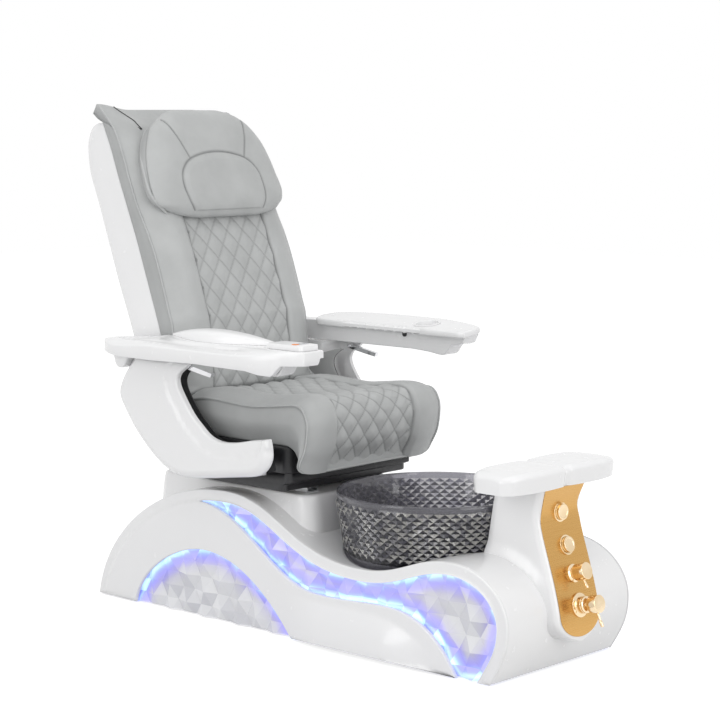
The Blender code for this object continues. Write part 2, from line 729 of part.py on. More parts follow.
def make_slide_rails():
    """A pair of fixed rails screwed down on the riser."""
    for label, side in (("right", -1), ("left", 1)):
        outline = rail_outline(side * RAIL_SPACING / 2, RISER_TOP_Z + CLEAR)
        bar_x(f"slide_rail_{label}", outline, RAIL_CENTRE_X - RAIL_LENGTH / 2,
              RAIL_CENTRE_X + RAIL_LENGTH / 2, ZINC_STEEL)


# ---------------------------------------------------------------- bowl, drain and pump
def make_bowl():
    """Thick smoked bowl, cut outside in rows of diamonds under a plain rim."""
    columns = BOWL_FACETS_ROUND * 2
    rows = BOWL_FACET_ROWS * 2
    base = bowl_line()
    low = base[1][1]
    high = BOWL_RIM_Z - BOWL_RIM_BAND
    rings = [(BOWL_FOOT_RADIUS, BOWL_FOOT_Z, 0.0, 0)]
    for row in range(rows + 1):
        z = low + (high - low) * row / rows
        rings.append((bowl_radius(z), z, BOWL_FACET_RISE if 0 < row < rows else 0.0, row))
    rings.append((BOWL_RIM_RADIUS - 0.001, BOWL_RIM_Z - 0.004, 0.0, 0))
    rings.append((BOWL_RIM_RADIUS - BOWL_WALL * 0.35, BOWL_RIM_Z, 0.0, 0))
    rings.append((BOWL_RIM_RADIUS - BOWL_WALL * 0.75, BOWL_RIM_Z - 0.001, 0.0, 0))
    for z in (BOWL_KNEE_Z, BOWL_FOOT_Z + BOWL_WALL * 2.4):
        rings.append((bowl_radius(z) - BOWL_WALL, z, 0.0, 0))
    rings.append((BOWL_FOOT_RADIUS + 0.010, BOWL_FOOT_Z + BOWL_WALL + 0.001, 0.0, 0))
    rings.append((DRAIN_RADIUS + CLEAR, BOWL_FOOT_Z + BOWL_WALL, 0.0, 0))
    rings.append((DRAIN_RADIUS + CLEAR, BOWL_FOOT_Z, 0.0, 0))
    verts = []
    for radius, z, rise, row in rings:
        for column in range(columns):
            angle = 2 * math.pi * column / columns
            reach = radius + (rise if (row + column) % 2 else 0.0)
            verts.append((BOWL_X + reach * math.cos(angle), reach * math.sin(angle), z))
    faces = []
    for ring in range(len(rings)):
        after_ring = (ring + 1) % len(rings)
        cut = rings[ring][2] > 0.0 or rings[after_ring][2] > 0.0
        for column in range(columns):
            after = (column + 1) % columns
            corners = [ring * columns + column, ring * columns + after,
                       after_ring * columns + after, after_ring * columns + column]
            if not cut:
                faces.append(tuple(corners))
            elif (rings[ring][3] + column) % 2 == 0:
                faces += [(corners[0], corners[1], corners[2]), (corners[0], corners[2], corners[3])]
            else:
                faces += [(corners[0], corners[1], corners[3]), (corners[1], corners[2], corners[3])]
    body_from("foot_bowl", verts, faces, SMOKED_CRYSTAL, sharp=math.radians(8))


def make_drain():
    """Drain flange with its sleeve, a lifting stopper and the pump below."""
    floor = BOWL_FOOT_Z + BOWL_WALL + CLEAR
    sleeve_end = BOWL_FOOT_Z - 0.040
    bore = DRAIN_RADIUS - 0.006
    profile = [(bore, sleeve_end), (DRAIN_RADIUS, sleeve_end), (DRAIN_RADIUS, floor),
               (DRAIN_RADIUS + 0.012, floor), (DRAIN_RADIUS + 0.010, floor + 0.003), (bore, floor + 0.003)]
    turned("bowl_drain", profile, CHROME, (BOWL_X, 0.0, 0.0), sides=16)
    top = floor + 0.003 + CLEAR
    stopper = [(0.0, sleeve_end + 0.006), (0.005, sleeve_end + 0.006), (0.005, top - 0.004), (bore - 0.001, top),
               (DRAIN_RADIUS + 0.006, top), (DRAIN_RADIUS + 0.006, top + 0.003), (0.0, top + 0.006)]
    turned("drain_stopper", stopper, CHROME, (BOWL_X, 0.0, 0.0), sides=16, origin=(BOWL_X, 0.0, top))
    foot = FRAME_Z + FRAME_BAR + CLEAR
    pump = [(0.0, foot), (0.066, foot), (0.066, foot + 0.004), (0.036, foot + 0.006), (0.036, foot + 0.024),
            (0.047, foot + 0.027), (0.047, foot + 0.058), (DRAIN_RADIUS, foot + 0.064),
            (DRAIN_RADIUS, sleeve_end - CLEAR), (bore, sleeve_end - CLEAR), (bore, foot + 0.068), (0.0, foot + 0.068)]
    turned("drain_pump", pump, BLACK_PLASTIC, (BOWL_X, 0.0, 0.0), sides=16)


def make_power_unit():
    """Closed box on the base frame that feeds the lights and the pump."""
    low = FRAME_Z + FRAME_BAR + CLEAR
    unit = box("power_unit", (CROSSBAR_X[0] - FRAME_BAR / 2, -FRAME_HALF_WIDTH + FRAME_BAR / 2, low),
               (CROSSBAR_X[0] + 0.130, -FRAME_HALF_WIDTH + 0.090, low + 0.045), BLACK_PLASTIC)
    soften(unit, 0.004)


# ---------------------------------------------------------------- console column and its plate
TONGUE_DROP = 0.012
TONGUE_ROUND = 0.060
SPOUT_Z = 0.415
SPOUT_HEIGHT = 0.012
SPOUT_HALF_WIDTH = 0.030


def front_line():
    """Side view of the console's front (x, z), from its top to its foot."""
    top = (PLATE_TOP_X, COLUMN_TOP_Z)
    waist = (PLATE_WAIST_X, PLATE_WAIST_Z)
    foot = (PLATE_FOOT_X, PLATE_FOOT_Z)
    drop = COLUMN_TOP_Z - PLATE_WAIST_Z
    points = bezier(top, (PLATE_TOP_X - 0.007, COLUMN_TOP_Z - drop * 0.35),
                    (PLATE_WAIST_X, PLATE_WAIST_Z + drop * 0.35), waist, 3)
    fall = PLATE_WAIST_Z - PLATE_FOOT_Z
    points += bezier(waist, (PLATE_WAIST_X + 0.003, PLATE_WAIST_Z - fall * 0.20),
                     (PLATE_FOOT_X - 0.008, PLATE_FOOT_Z + fall * 0.41), foot, 7)
    return points + [foot, (PLATE_FOOT_X + 0.002, PLATE_FOOT_Z - TONGUE_DROP * 2)]


def front_x(z):
    """Front face of the console at a height."""
    line = front_line()
    for start, end in zip(line, line[1:]):
        if start[1] >= z >= end[1]:
            share = (start[1] - z) / (start[1] - end[1])
            return start[0] + share * (end[0] - start[0])
    return line[0][0] if z > line[0][1] else line[-1][0]


def front_frame(z):
    """Point on the console's front at a height, with the direction out of the face."""
    slope = (front_x(z + 0.004) - front_x(z - 0.004)) / 0.008
    out = Vector((1.0, 0.0, -slope)).normalized()
    return Vector((front_x(z), 0.0, z)), out


def narrowing(z, half_width, foot_z):
    """Half width at a height of a shape whose foot is rounded."""
    round_height = TONGUE_ROUND * half_width / COLUMN_HALF_WIDTH
    share = min(max((foot_z + round_height - z) / round_height, 0.0), 1.0)
    return half_width * math.sqrt(max(1 - share * share, 0.0))


def console_heights(foot_z, half_width):
    """Stations from the round foot up: those of its curve, then every bend of the front line."""
    round_height = TONGUE_ROUND * half_width / COLUMN_HALF_WIDTH
    foot_line = [foot_z + round_height * (1 - math.sin(math.radians(a))) for a in (80, 60, 40, 20)]
    bends = [z for x, z in front_line() if z > foot_z + 0.001]
    clear_of_bends = [z for z in foot_line if min(abs(z - bend) for bend in bends) > 0.0015]
    return sorted(clear_of_bends + bends)


def column_rings(wall):
    """Plan outlines of the column: square rear corners, rounded front ones."""
    foot = PLATE_FOOT_Z - TONGUE_DROP + wall
    rings = []
    for z in console_heights(foot, COLUMN_HALF_WIDTH - wall):
        half = narrowing(z, COLUMN_HALF_WIDTH - wall, foot)
        share = min(max((z - VALLEY_Z) / (COLUMN_TOP_Z - VALLEY_Z), 0.0), 1.0)
        rear = COLUMN_REAR_FOOT_X + (COLUMN_REAR_TOP_X - COLUMN_REAR_FOOT_X) * share ** 1.4 + wall
        front = front_x(z) - wall
        radius = min(COLUMN_EDGE_RADIUS - wall / 2, half * 0.7)
        ring = [(rear, -half, z)]
        for side, start in ((-1, -90), (1, 0)):
            for step in range(4):
                angle = math.radians(start + 90 * step / 3)
                x = front - radius + radius * math.cos(angle)
                ring.append((x, side * (half - radius) + radius * math.sin(angle), z))
        ring.append((rear, half, z))
        rings.append(ring)
    top = COLUMN_TOP_Z - wall
    if wall:
        rings[-1] = [(x, y, top) for x, y, z in rings[-1]]
    return rings


def make_column():
    """Hollow moulded column that stands on the wave and laps the nose with a tongue."""
    column = loft("console_column", column_rings(0.0), WHITE_GLOSS)
    hollow = loft("column_hollow", column_rings(COLUMN_WALL), WHITE_GLOSS)
    combine(hollow, bowl_space("bowl_wall_side", POCKET_GAP + COLUMN_WALL, BOWL_FOOT_Z - 0.05))
    combine(column, hollow)
    combine(column, bowl_space("bowl_side", POCKET_GAP, BOWL_FOOT_Z - 0.05))
    under = wave_line(-CLEAR, -0.05)
    combine(column, plate_xz("wave_under_column", under, -0.30, 0.30, WHITE_GLOSS))
    for z, radius in ((UPPER_BUTTON_Z, BUTTON_RADIUS + 0.0023), (LOWER_BUTTON_Z, BUTTON_RADIUS + 0.0023),
                      (DIVERTER_Z, DIVERTER_RADIUS * 0.6 + CLEAR), (MIXER_Z, MIXER_RADIUS * 0.8 + CLEAR)):
        point, out = front_frame(z)
        hole = cylinder(f"column_hole_{z}", point - out * 0.020, point + out * 0.020, radius, WHITE_GLOSS, 16)
        combine(column, hole)
    slot = box("spout_slot", (BOWL_X + BOWL_RIM_RADIUS, -SPOUT_HALF_WIDTH - CLEAR, SPOUT_Z - CLEAR),
               (BOWL_X + BOWL_RIM_RADIUS + 0.030, SPOUT_HALF_WIDTH + CLEAR, SPOUT_Z + SPOUT_HEIGHT + CLEAR),
               WHITE_GLOSS)
    combine(column, slot)


def make_spout():
    """Flat spout under the footrest that pours into the bowl."""
    rear = BOWL_X + BOWL_RIM_RADIUS - 0.030
    front = BOWL_X + BOWL_RIM_RADIUS + 0.026
    wall = 0.002
    top = SPOUT_Z + SPOUT_HEIGHT
    spout = box("waterfall_spout", (rear, -SPOUT_HALF_WIDTH, SPOUT_Z), (front, SPOUT_HALF_WIDTH, top), CHROME)
    bore = box("spout_bore", (rear - 0.01, wall - SPOUT_HALF_WIDTH, SPOUT_Z + wall),
               (front + 0.01, SPOUT_HALF_WIDTH - wall, top - wall), CHROME)
    combine(spout, bore)


def make_control_plate():
    """Thin metal plate bent to the console's front, with a round foot and four holes."""
    foot = PLATE_FOOT_Z
    front = []
    back = []
    for z in console_heights(foot, PLATE_HALF_WIDTH):
        half = narrowing(z, PLATE_HALF_WIDTH, foot)
        face = front_x(z) + CLEAR
        back.append([(face, half * share / 3, z) for share in range(-3, 4)])
        front.append([(face + PLATE_THICKNESS, half * share / 3, z) for share in range(-3, 4)])
    plate = closed_grid("control_plate", front, back, GOLD_PLATE)
    for z, radius in ((UPPER_BUTTON_Z, BUTTON_RADIUS + 0.0023), (LOWER_BUTTON_Z, BUTTON_RADIUS + 0.0023),
                      (DIVERTER_Z, DIVERTER_RADIUS * 0.6 + CLEAR), (MIXER_Z, MIXER_RADIUS * 0.8 + CLEAR)):
        point, out = front_frame(z)
        hole = cylinder(f"plate_hole_{z}", point - out * 0.020, point + out * 0.020, radius, GOLD_PLATE, 16)
        combine(plate, hole)


# ---------------------------------------------------------------- controls
PLATE_FACE = PLATE_THICKNESS + 2 * CLEAR
BEZEL_HEIGHT = 0.003
BUTTON_PROUD = 0.012


def seat_on_front(piece, z, bore):
    """Trims a flange to the bent face of the control plate, leaving what passes through its hole."""
    point, out = front_frame(z)
    grow = PLATE_THICKNESS + 2 * CLEAR
    outline = [(x + grow, height) for x, height in front_line()]
    outline += [(outline[-1][0] - 0.10, outline[-1][1]), (outline[0][0] - 0.10, outline[0][1])]
    face = plate_xz(f"face_for_{piece.name}", outline, -PLATE_HALF_WIDTH, PLATE_HALF_WIDTH, WHITE_GLOSS)
    combine(face, cylinder(f"way_for_{piece.name}", point - out * 0.050, point + out * 0.020,
                           bore + CLEAR / 3, WHITE_GLOSS, 16))
    combine(piece, face)


def make_button(name, z):
    """Push button that slides in a bezel sunk through the plate."""
    point, out = front_frame(z)
    seat = point + out * PLATE_FACE
    sleeve = BUTTON_RADIUS + 0.002
    bore = BUTTON_RADIUS + 0.0005
    profile = [(bore, -0.010), (sleeve, -0.010), (sleeve, -0.002), (sleeve + 0.003, -0.002),
               (sleeve + 0.003, BEZEL_HEIGHT - 0.001), (sleeve + 0.002, BEZEL_HEIGHT), (bore, BEZEL_HEIGHT)]
    bezel = turned(f"{name}_bezel", profile, PALE_GOLD, seat, out, 16)
    seat_on_front(bezel, z, sleeve)
    cap = [(0.0, -0.008), (BUTTON_RADIUS, -0.008), (BUTTON_RADIUS, BUTTON_PROUD - 0.004),
           (BUTTON_RADIUS - 0.0012, BUTTON_PROUD - 0.0012), (BUTTON_RADIUS - 0.004, BUTTON_PROUD),
           (0.0, BUTTON_PROUD - 0.001)]
    turned(name, cap, PALE_GOLD, seat, out, 16)


def small_lever(name, root, tip, radius, look):
    """Round pin lever with a slightly thicker end."""
    start = Vector(root)
    along = Vector(tip) - start
    length = along.length
    profile = [(0.0, 0.0), (radius * 0.8, 0.0), (radius * 0.8, length * 0.55), (radius, length * 0.75),
               (radius, length - radius * 0.4), (radius * 0.5, length), (0.0, length)]
    return turned(name, profile, look, start, along.normalized(), 12)


def make_diverter():
    """Quarter-turn valve: fixed body through the plate and a knob with a pin lever."""
    point, out = front_frame(DIVERTER_Z)
    seat = point + out * PLATE_FACE
    neck = DIVERTER_RADIUS * 0.6
    spindle = DIVERTER_RADIUS * 0.3
    body_top = 0.010
    body = [(0.0, -0.030), (neck, -0.030), (neck, -0.002), (DIVERTER_RADIUS + 0.002, -0.002),
            (DIVERTER_RADIUS + 0.002, 0.004), (neck, body_top), (spindle + CLEAR, body_top),
            (spindle + CLEAR, -0.016), (0.0, -0.016)]
    valve = turned("diverter_valve", body, PALE_GOLD, seat, out, 16)
    seat_on_front(valve, DIVERTER_Z, neck)
    reach = DIVERTER_REACH
    knob = [(0.0, -0.015), (spindle, -0.015), (spindle, body_top + CLEAR),
            (DIVERTER_RADIUS - 0.002, body_top + CLEAR), (DIVERTER_RADIUS, body_top + 0.002),
            (DIVERTER_RADIUS, reach - 0.004), (DIVERTER_RADIUS - 0.0015, reach - 0.001),
            (DIVERTER_RADIUS - 0.005, reach), (0.0, reach)]
    made = turned("diverter_knob", knob, PALE_GOLD, seat, out, 16)
    down = Vector((-out.z, 0.0, out.x)) * -1
    middle = seat + out * (reach * 0.62)
    lever = small_lever("diverter_pin", middle + down * (DIVERTER_RADIUS - 0.004),
                        middle + down * (DIVERTER_RADIUS + 0.020) + out * 0.006, 0.0035, PALE_GOLD)
    combine(made, lever, "UNION")


MIXER_PIVOT = 0.030
MIXER_BALL = 0.006


def make_mixer():
    """Single-lever mixer: body, turning cartridge and a tilting cap with a pin lever."""
    point, out = front_frame(MIXER_Z)
    seat = point + out * PLATE_FACE
    sleeve = MIXER_RADIUS * 0.8
    bore = MIXER_RADIUS * 0.65
    body_top = MIXER_PIVOT - 0.005
    body = [(0.0, -0.034), (sleeve, -0.034), (sleeve, -0.002), (MIXER_RADIUS + 0.008, -0.002),
            (MIXER_RADIUS + 0.008, 0.004), (MIXER_RADIUS - 0.001, 0.006), (MIXER_RADIUS - 0.001, body_top - 0.004),
            (sleeve, body_top), (bore + CLEAR, body_top), (bore + CLEAR, -0.012), (0.0, -0.012)]
    mixer = turned("mixer_body", body, PALE_GOLD, seat, out, 16)
    seat_on_front(mixer, MIXER_Z, sleeve)
    cup = MIXER_PIVOT - MIXER_BALL - CLEAR
    cartridge = [(0.0, -0.0117), (bore, -0.0117), (bore, cup), (0.0, cup)]
    turned("mixer_cartridge", cartridge, BRASS, seat, out, 24)
    pivot = seat + out * MIXER_PIVOT
    ball = [(MIXER_BALL * math.sin(math.radians(a)), -MIXER_BALL * math.cos(math.radians(a)))
            for a in range(0, 150, 36)]
    reach = MIXER_REACH - MIXER_PIVOT
    under = MIXER_BALL
    cap = ball + [(0.004, under), (MIXER_RADIUS - 0.002, under), (MIXER_RADIUS, under + 0.002),
                  (MIXER_RADIUS, reach - 0.004), (MIXER_RADIUS - 0.0015, reach - 0.001),
                  (MIXER_RADIUS - 0.005, reach), (0.0, reach)]
    made = turned("mixer_handle", cap, PALE_GOLD, pivot, out, 16)
    down = Vector((-out.z, 0.0, out.x)) * -1
    middle = pivot + out * (reach * 0.60)
    lever = small_lever("mixer_pin", middle + down * (MIXER_RADIUS - 0.004),
                        middle + down * (MIXER_RADIUS + 0.034) + out * 0.010, 0.0040, PALE_GOLD)
    combine(made, lever, "UNION")


# ---------------------------------------------------------------- footrest
def footrest_rings(inset, low, first, last, steps):
    """Cross-sections (x, z) along the footrest: two lobes that meet in a groove."""
    rings = []
    bottom = COLUMN_TOP_Z + CLEAR
    for index in range(steps + 1):
        y = first + (last - first) * 0.5 * (1 - math.cos(math.pi * index / steps))
        share = abs(y) / FOOTREST_HALF_LENGTH
        end = max(1 - share ** 9, 0.0) ** 0.5
        lobe = 0.90 + 0.10 * math.sin(math.pi * min(share * 1.15, 1.0))
        groove = math.exp(-(y / 0.010) ** 2)
        half = FOOTREST_HALF_DEPTH * (lobe * (0.40 + 0.60 * end) - 0.10 * groove) - inset
        top = bottom + FOOTREST_THICKNESS * (0.62 + 0.38 * end) - 0.008 * groove - inset
        crown = min(half * 0.30, 0.018)
        ring = [(FOOTREST_X - half * 0.92, y, low)]
        ring.append((FOOTREST_X - half, y, low + (top - low) * 0.35))
        for step in range(4):
            angle = math.radians(180 - 90 * step / 3)
            ring.append((FOOTREST_X - half + crown + crown * math.cos(angle), y,
                         top - crown * 0.75 + crown * 0.75 * math.sin(angle)))
        for step in range(4):
            angle = math.radians(90 - 90 * step / 3)
            ring.append((FOOTREST_X + half - crown + crown * math.cos(angle), y,
                         top - crown * 0.75 + crown * 0.75 * math.sin(angle)))
        ring.append((FOOTREST_X + half, y, low + (top - low) * 0.35))
        ring.append((FOOTREST_X + half * 0.92, y, low))
        rings.append(ring)
    return rings


def make_footrest():
    """Saddle-shaped footrest across the column, hollow below both lobes."""
    bottom = COLUMN_TOP_Z + CLEAR
    half = FOOTREST_HALF_LENGTH
    rest = loft("footrest", footrest_rings(0.0, bottom, -half, half, 14), WHITE_GLOSS)
    near = COLUMN_HALF_WIDTH + FOOTREST_WALL
    far = FOOTREST_HALF_LENGTH - FOOTREST_WALL * 2
    for side in (-1, 1):
        rings = footrest_rings(FOOTREST_WALL, bottom - 0.02, side * near, side * far, 4)
        combine(rest, loft(f"footrest_hollow_{side}", rings, WHITE_GLOSS))


# ---------------------------------------------------------------- padded bodies
def side_normals(path):
    """Directions square to a side-view path (x, z), to the left of its direction."""
    normals = []
    for index in range(len(path)):
        before = Vector(path[max(index - 1, 0)])
        after = Vector(path[min(index + 1, len(path) - 1)])
        along = (after - before).normalized()
        normals.append((-along.y, along.x))
    return normals


def spread(path, count):
    """The path read again at even steps along its length, ends included."""
    lengths = [0.0]
    for start, end in zip(path, path[1:]):
        lengths.append(lengths[-1] + math.dist(start, end))
    points = []
    for index in range(count):
        wanted = lengths[-1] * index / (count - 1)
        place = min(sum(length < wanted for length in lengths[1:-1]) + 1, len(path) - 1)
        share = (wanted - lengths[place - 1]) / (lengths[place] - lengths[place - 1])
        start = path[place - 1]
        end = path[place]
        points.append(tuple(s + share * (e - s) for s, e in zip(start, end)))
    return points


def pad_stations(half_width, quilt_half_width, quilt_cells):
    """Stations across a cushion: its side panel, its bolster, then the quilted middle."""
    middle = [quilt_half_width * (2 * cell / quilt_cells - 1) for cell in range(quilt_cells + 1)]
    reach = half_width - quilt_half_width
    bolster = [quilt_half_width + reach * share for share in (0.25, 0.60, 0.88)]
    return [-y for y in reversed(bolster)] + middle + bolster


def padded_body(name, face, under, half_width, height, look, stations, origin=(0.0, 0.0, 0.0)):
    """Cushion whose face follows a side-view path and whose underside follows another. height gives
    the rise over the path at (row, y); the side panels bulge and are drawn in at the bottom."""
    normals = side_normals(face)
    verts = []
    columns = len(stations) + 6
    for row, (top, low, normal) in enumerate(zip(face, under, normals)):
        panel = []
        for share, reach in ((0.06, half_width - 0.009), (0.45, half_width), (0.86, half_width - 0.001)):
            x = low[0] + (top[0] - low[0]) * share
            z = low[1] + (top[1] - low[1]) * share
            panel.append((x, reach, z))
        crown = []
        for y in stations:
            rise = height(row, y)
            crown.append((top[0] + normal[0] * rise, y, top[1] + normal[1] * rise))
        verts += [(x, -y, z) for x, y, z in panel] + crown + panel[::-1]
    faces = []
    rows = len(face)
    for row in range(rows - 1):
        for column in range(columns - 1):
            low = row * columns + column
            high = low + columns
            if (row + column + 1) % 2 == 0:
                faces += [(low, low + 1, high + 1), (low, high + 1, high)]
            else:
                faces += [(low, low + 1, high), (low + 1, high + 1, high)]
    base = len(verts)
    for x, z in under:
        verts += [(x, 0.014 - half_width, z), (x, half_width - 0.014, z)]
    for row in range(rows - 1):
        low = base + 2 * row
        faces.append((low, low + 2, low + 3, low + 1))
        first = row * columns
        last = first + columns - 1
        faces.append((low, first, first + columns, low + 2))
        faces.append((last, low + 1, low + 3, last + columns))
    faces.append(tuple(range(columns - 1, -1, -1)) + (base, base + 1))
    end = base + 2 * (rows - 1)
    faces.append(tuple(range((rows - 1) * columns, rows * columns)) + (end + 1, end))
    return body_from(name, verts, faces, look, origin)


def crown_drop(y, half_width):
    """How far a cushion's face falls away towards its side seams."""
    return 0.016 * max((abs(y) / half_width - 0.72) / 0.28, 0.0) ** 2


# ---------------------------------------------------------------- seat group
SKIRT_TOP_Z = BOARD_Z - CLEAR - FLAT_BAR - CLEAR
RAIL_TOP_Z = RISER_TOP_Z + CLEAR + RAIL_HEIGHT
CARRIAGE_Z = RAIL_TOP_Z + 0.0014
CARRIAGE_TOP_Z = CARRIAGE_Z + CARRIAGE_THICKNESS
FRAME_REAR = SKIRT_REAR_X + SKIRT_WALL + CLEAR
FRAME_FRONT = SKIRT_FRONT_X - 0.025


def make_slide_carriage():
    """Plate with two T-shaped runners that slide in the rails."""
    half = RAIL_WIDTH / 2 - RAIL_WALL - 0.0015
    neck = RAIL_SLOT / 2 - 0.0015
    top = RAIL_TOP_Z - RAIL_WALL - CLEAR
    low = RISER_TOP_Z + RAIL_WALL + 2 * CLEAR
    right = -RAIL_SPACING / 2
    left = RAIL_SPACING / 2
    outline = [(-CARRIAGE_HALF_WIDTH, CARRIAGE_Z)]
    for y in (right, left):
        outline += [(y - neck, CARRIAGE_Z), (y - neck, top), (y - half, top), (y - half, low),
                    (y + half, low), (y + half, top), (y + neck, top), (y + neck, CARRIAGE_Z)]
    outline += [(CARRIAGE_HALF_WIDTH, CARRIAGE_Z), (CARRIAGE_HALF_WIDTH, CARRIAGE_TOP_Z),
                (-CARRIAGE_HALF_WIDTH, CARRIAGE_TOP_Z)]
    bar_x("slide_carriage", outline, FRAME_REAR, FRAME_FRONT, ZINC_STEEL)


def make_seat_frame():
    """Welded ring under the seat board with legs, arm bars and the ears that carry the back."""
    top = BOARD_Z - CLEAR
    low = top - SEAT_FRAME_BAR * 1.45
    half = SEAT_FRAME_HALF_WIDTH
    bar = SEAT_FRAME_BAR
    frame = box("seat_frame", (FRAME_REAR, -half, low), (FRAME_FRONT, half, top), DARK_STEEL)
    combine(frame, box("seat_frame_window", (FRAME_REAR + bar, bar - half, low - 0.01),
                       (FRAME_FRONT - bar, half - bar, top + 0.01), DARK_STEEL))
    for index, x in enumerate((FRAME_REAR + 0.002, FRAME_FRONT - bar + 0.002)):
        for side in (-1, 1):
            y = side * (CARRIAGE_HALF_WIDTH - 0.020)
            combine(frame, box(f"seat_leg_{index}_{side}", (x, y - 0.010, CARRIAGE_TOP_Z + CLEAR),
                               (x + bar - 0.004, y + 0.010, low + 0.004), DARK_STEEL), "UNION")
    reach = ARM_INNER_Y - PANEL_THICKNESS - 2 * CLEAR
    for index, x in enumerate((-0.330, -0.160)):
        combine(frame, box(f"arm_bar_{index}", (x, -reach, top - FLAT_BAR), (x + 0.030, reach, top - 0.0001),
                           DARK_STEEL), "UNION")
    ear_y = BACK_TUBE_Y + BACK_TUBE_RADIUS + 0.007
    for side in (-1, 1):
        outline = [(FRAME_REAR + bar - 0.001, top - FLAT_BAR), (FRAME_REAR + bar - 0.001, top + 0.020)]
        for step in range(9):
            angle = math.radians(10 + 180 * step / 8)
            outline.append((BACK_AXIS_X + EAR_RADIUS * math.cos(angle),
                            BACK_AXIS_Z + EAR_RADIUS * math.sin(angle)))
        outline.append((BACK_AXIS_X - EAR_RADIUS, top - FLAT_BAR))
        ear = plate_xz(f"back_ear_{side}", outline, side * ear_y, side * (ear_y + EAR_THICKNESS), DARK_STEEL)
        tie = box(f"ear_tie_{side}", (FRAME_REAR + 0.001, min(side * (half - 0.005), side * (ear_y + 0.003)),
                                      top - FLAT_BAR + 0.0002),
                  (FRAME_REAR + bar - 0.002, max(side * (half - 0.005), side * (ear_y + 0.003)), top - 0.0002),
                  DARK_STEEL)
        combine(frame, tie, "UNION")
        combine(frame, ear, "UNION")
        pin = cylinder(f"back_pin_{side}", (BACK_AXIS_X, side * BACK_TUBE_Y, BACK_AXIS_Z),
                       (BACK_AXIS_X, side * (ear_y + EAR_THICKNESS + 0.003), BACK_AXIS_Z), PIN_RADIUS,
                       DARK_STEEL, 16)
        combine(frame, pin, "UNION")


def make_seat_skirt():
    """Black apron round the slide, open above and below."""
    low = SKIRT_TOP_Z - SKIRT_DEPTH
    length = (SKIRT_FRONT_X - SKIRT_REAR_X) / 2
    centre = ((SKIRT_FRONT_X + SKIRT_REAR_X) / 2, 0.0)
    wall = SKIRT_WALL
    skirt = slab_z("seat_skirt", rounded_rectangle(length, SKIRT_HALF_WIDTH, 0.020, 4, centre), low,
                   SKIRT_TOP_Z, BLACK_PLASTIC)
    inner = rounded_rectangle(length - wall, SKIRT_HALF_WIDTH - wall, 0.020 - wall, 4, centre)
    combine(skirt, slab_z("skirt_inside", inner, low - 0.01, SKIRT_TOP_Z + 0.01, BLACK_PLASTIC))


def make_seat_board():
    """Plywood board under the seat cushion."""
    rear = FRAME_REAR + SEAT_FRAME_BAR + 0.002
    half = (BOARD_FRONT_X - rear) / 2
    outline = rounded_rectangle(half, BOARD_HALF_WIDTH, 0.020, 4, ((BOARD_FRONT_X + rear) / 2, 0.0))
    slab_z("seat_board", outline, BOARD_Z, BOARD_Z + BOARD_THICKNESS, PLYWOOD)


def seat_face():
    """Side view of the seat cushion's upper face, from its rear edge over the nose."""
    rise = SEAT_TOP_Z - 0.612
    knots = [(SEAT_REAR_X, 0.604), (-0.284, 0.615), (-0.142, 0.609), (-0.069, 0.615), (0.003, 0.623),
             (0.039, 0.621), (0.063, 0.606), (0.077, 0.581), (0.082, 0.555), (0.079, 0.519),
             (0.071, 0.486), (0.054, 0.454), (0.043, 0.428)]
    return [(x, z + rise * min(max((z - BOARD_Z) / 0.18, 0.0), 1.0)) for x, z in smooth_path(knots, 2)]


def make_seat_cushion():
    """Seat cushion with raised bolsters, a quilted middle and a nose that hangs over the board."""
    rows = 19
    face = spread(seat_face(), rows)
    board_top = BOARD_Z + BOARD_THICKNESS + CLEAR
    lip = BOARD_FRONT_X + 0.002
    flat = [(SEAT_REAR_X, board_top), (lip, board_top)]
    under = spread(flat, rows - 5) + [(lip + 0.004, board_top - 0.006), (lip + 0.012, board_top - 0.014),
                                      (lip + 0.024, board_top - 0.018), (lip + 0.040, board_top - 0.020),
                                      (lip + 0.056, board_top - 0.021)]

    def height(row, y):
        nose = smooth_step((row - 8) / 6)
        depth = QUILT_DEPTH * (1 + 1.7 * nose)
        inside = smooth_step((QUILT_HALF_WIDTH + 0.016 - abs(y)) / 0.026)
        seam = QUILT_RISE * ((row + round((y + QUILT_HALF_WIDTH) / QUILT_CELL)) % 2)
        quilt = seam if abs(y) < QUILT_HALF_WIDTH - 0.001 and 0 < row < rows - 1 else 0.0
        return -depth * inside - crown_drop(y, SEAT_HALF_WIDTH) + quilt

    stations = pad_stations(SEAT_HALF_WIDTH, QUILT_HALF_WIDTH, QUILT_CELLS)
    padded_body("seat_cushion", face, under, SEAT_HALF_WIDTH, height, GREY_LEATHER, stations)


QUILT_CELLS = 10
QUILT_CELL = 2 * QUILT_HALF_WIDTH / QUILT_CELLS


# ---------------------------------------------------------------- back group
def back_seam():
    """Side view of the plane where the back cushion meets the moulded shell, upwards."""
    knots = [(-0.440, 0.620), (-0.480, 0.750), (-0.534, 0.896), (-0.568, 0.986), (-0.599, 1.060),
             (-0.638, 1.158), (-0.665, 1.232), (-0.698, 1.303)]
    return smooth_path(knots, 3)


def back_rear():
    """Side view of the shell's outside from its lower front edge round to its top edge."""
    knots = [(-0.440, 0.620), (-0.495, 0.588), (-0.548, 0.582), (-0.572, 0.612), (-0.610, 0.738),
             (-0.669, 0.881), (-0.724, 1.031), (-0.751, 1.101), (-0.775, 1.168), (-0.782, 1.225),
             (-0.777, 1.262), (-0.757, 1.291), (-0.728, 1.303), (-0.698, 1.303)]
    return smooth_path(knots, 3)


def bulge(share):
    """Fullness of the shell across its width, 1 in the middle and 0 at its edge."""
    return max(1 - abs(share) ** 3.2, 0.0) ** (1 / 2.2)


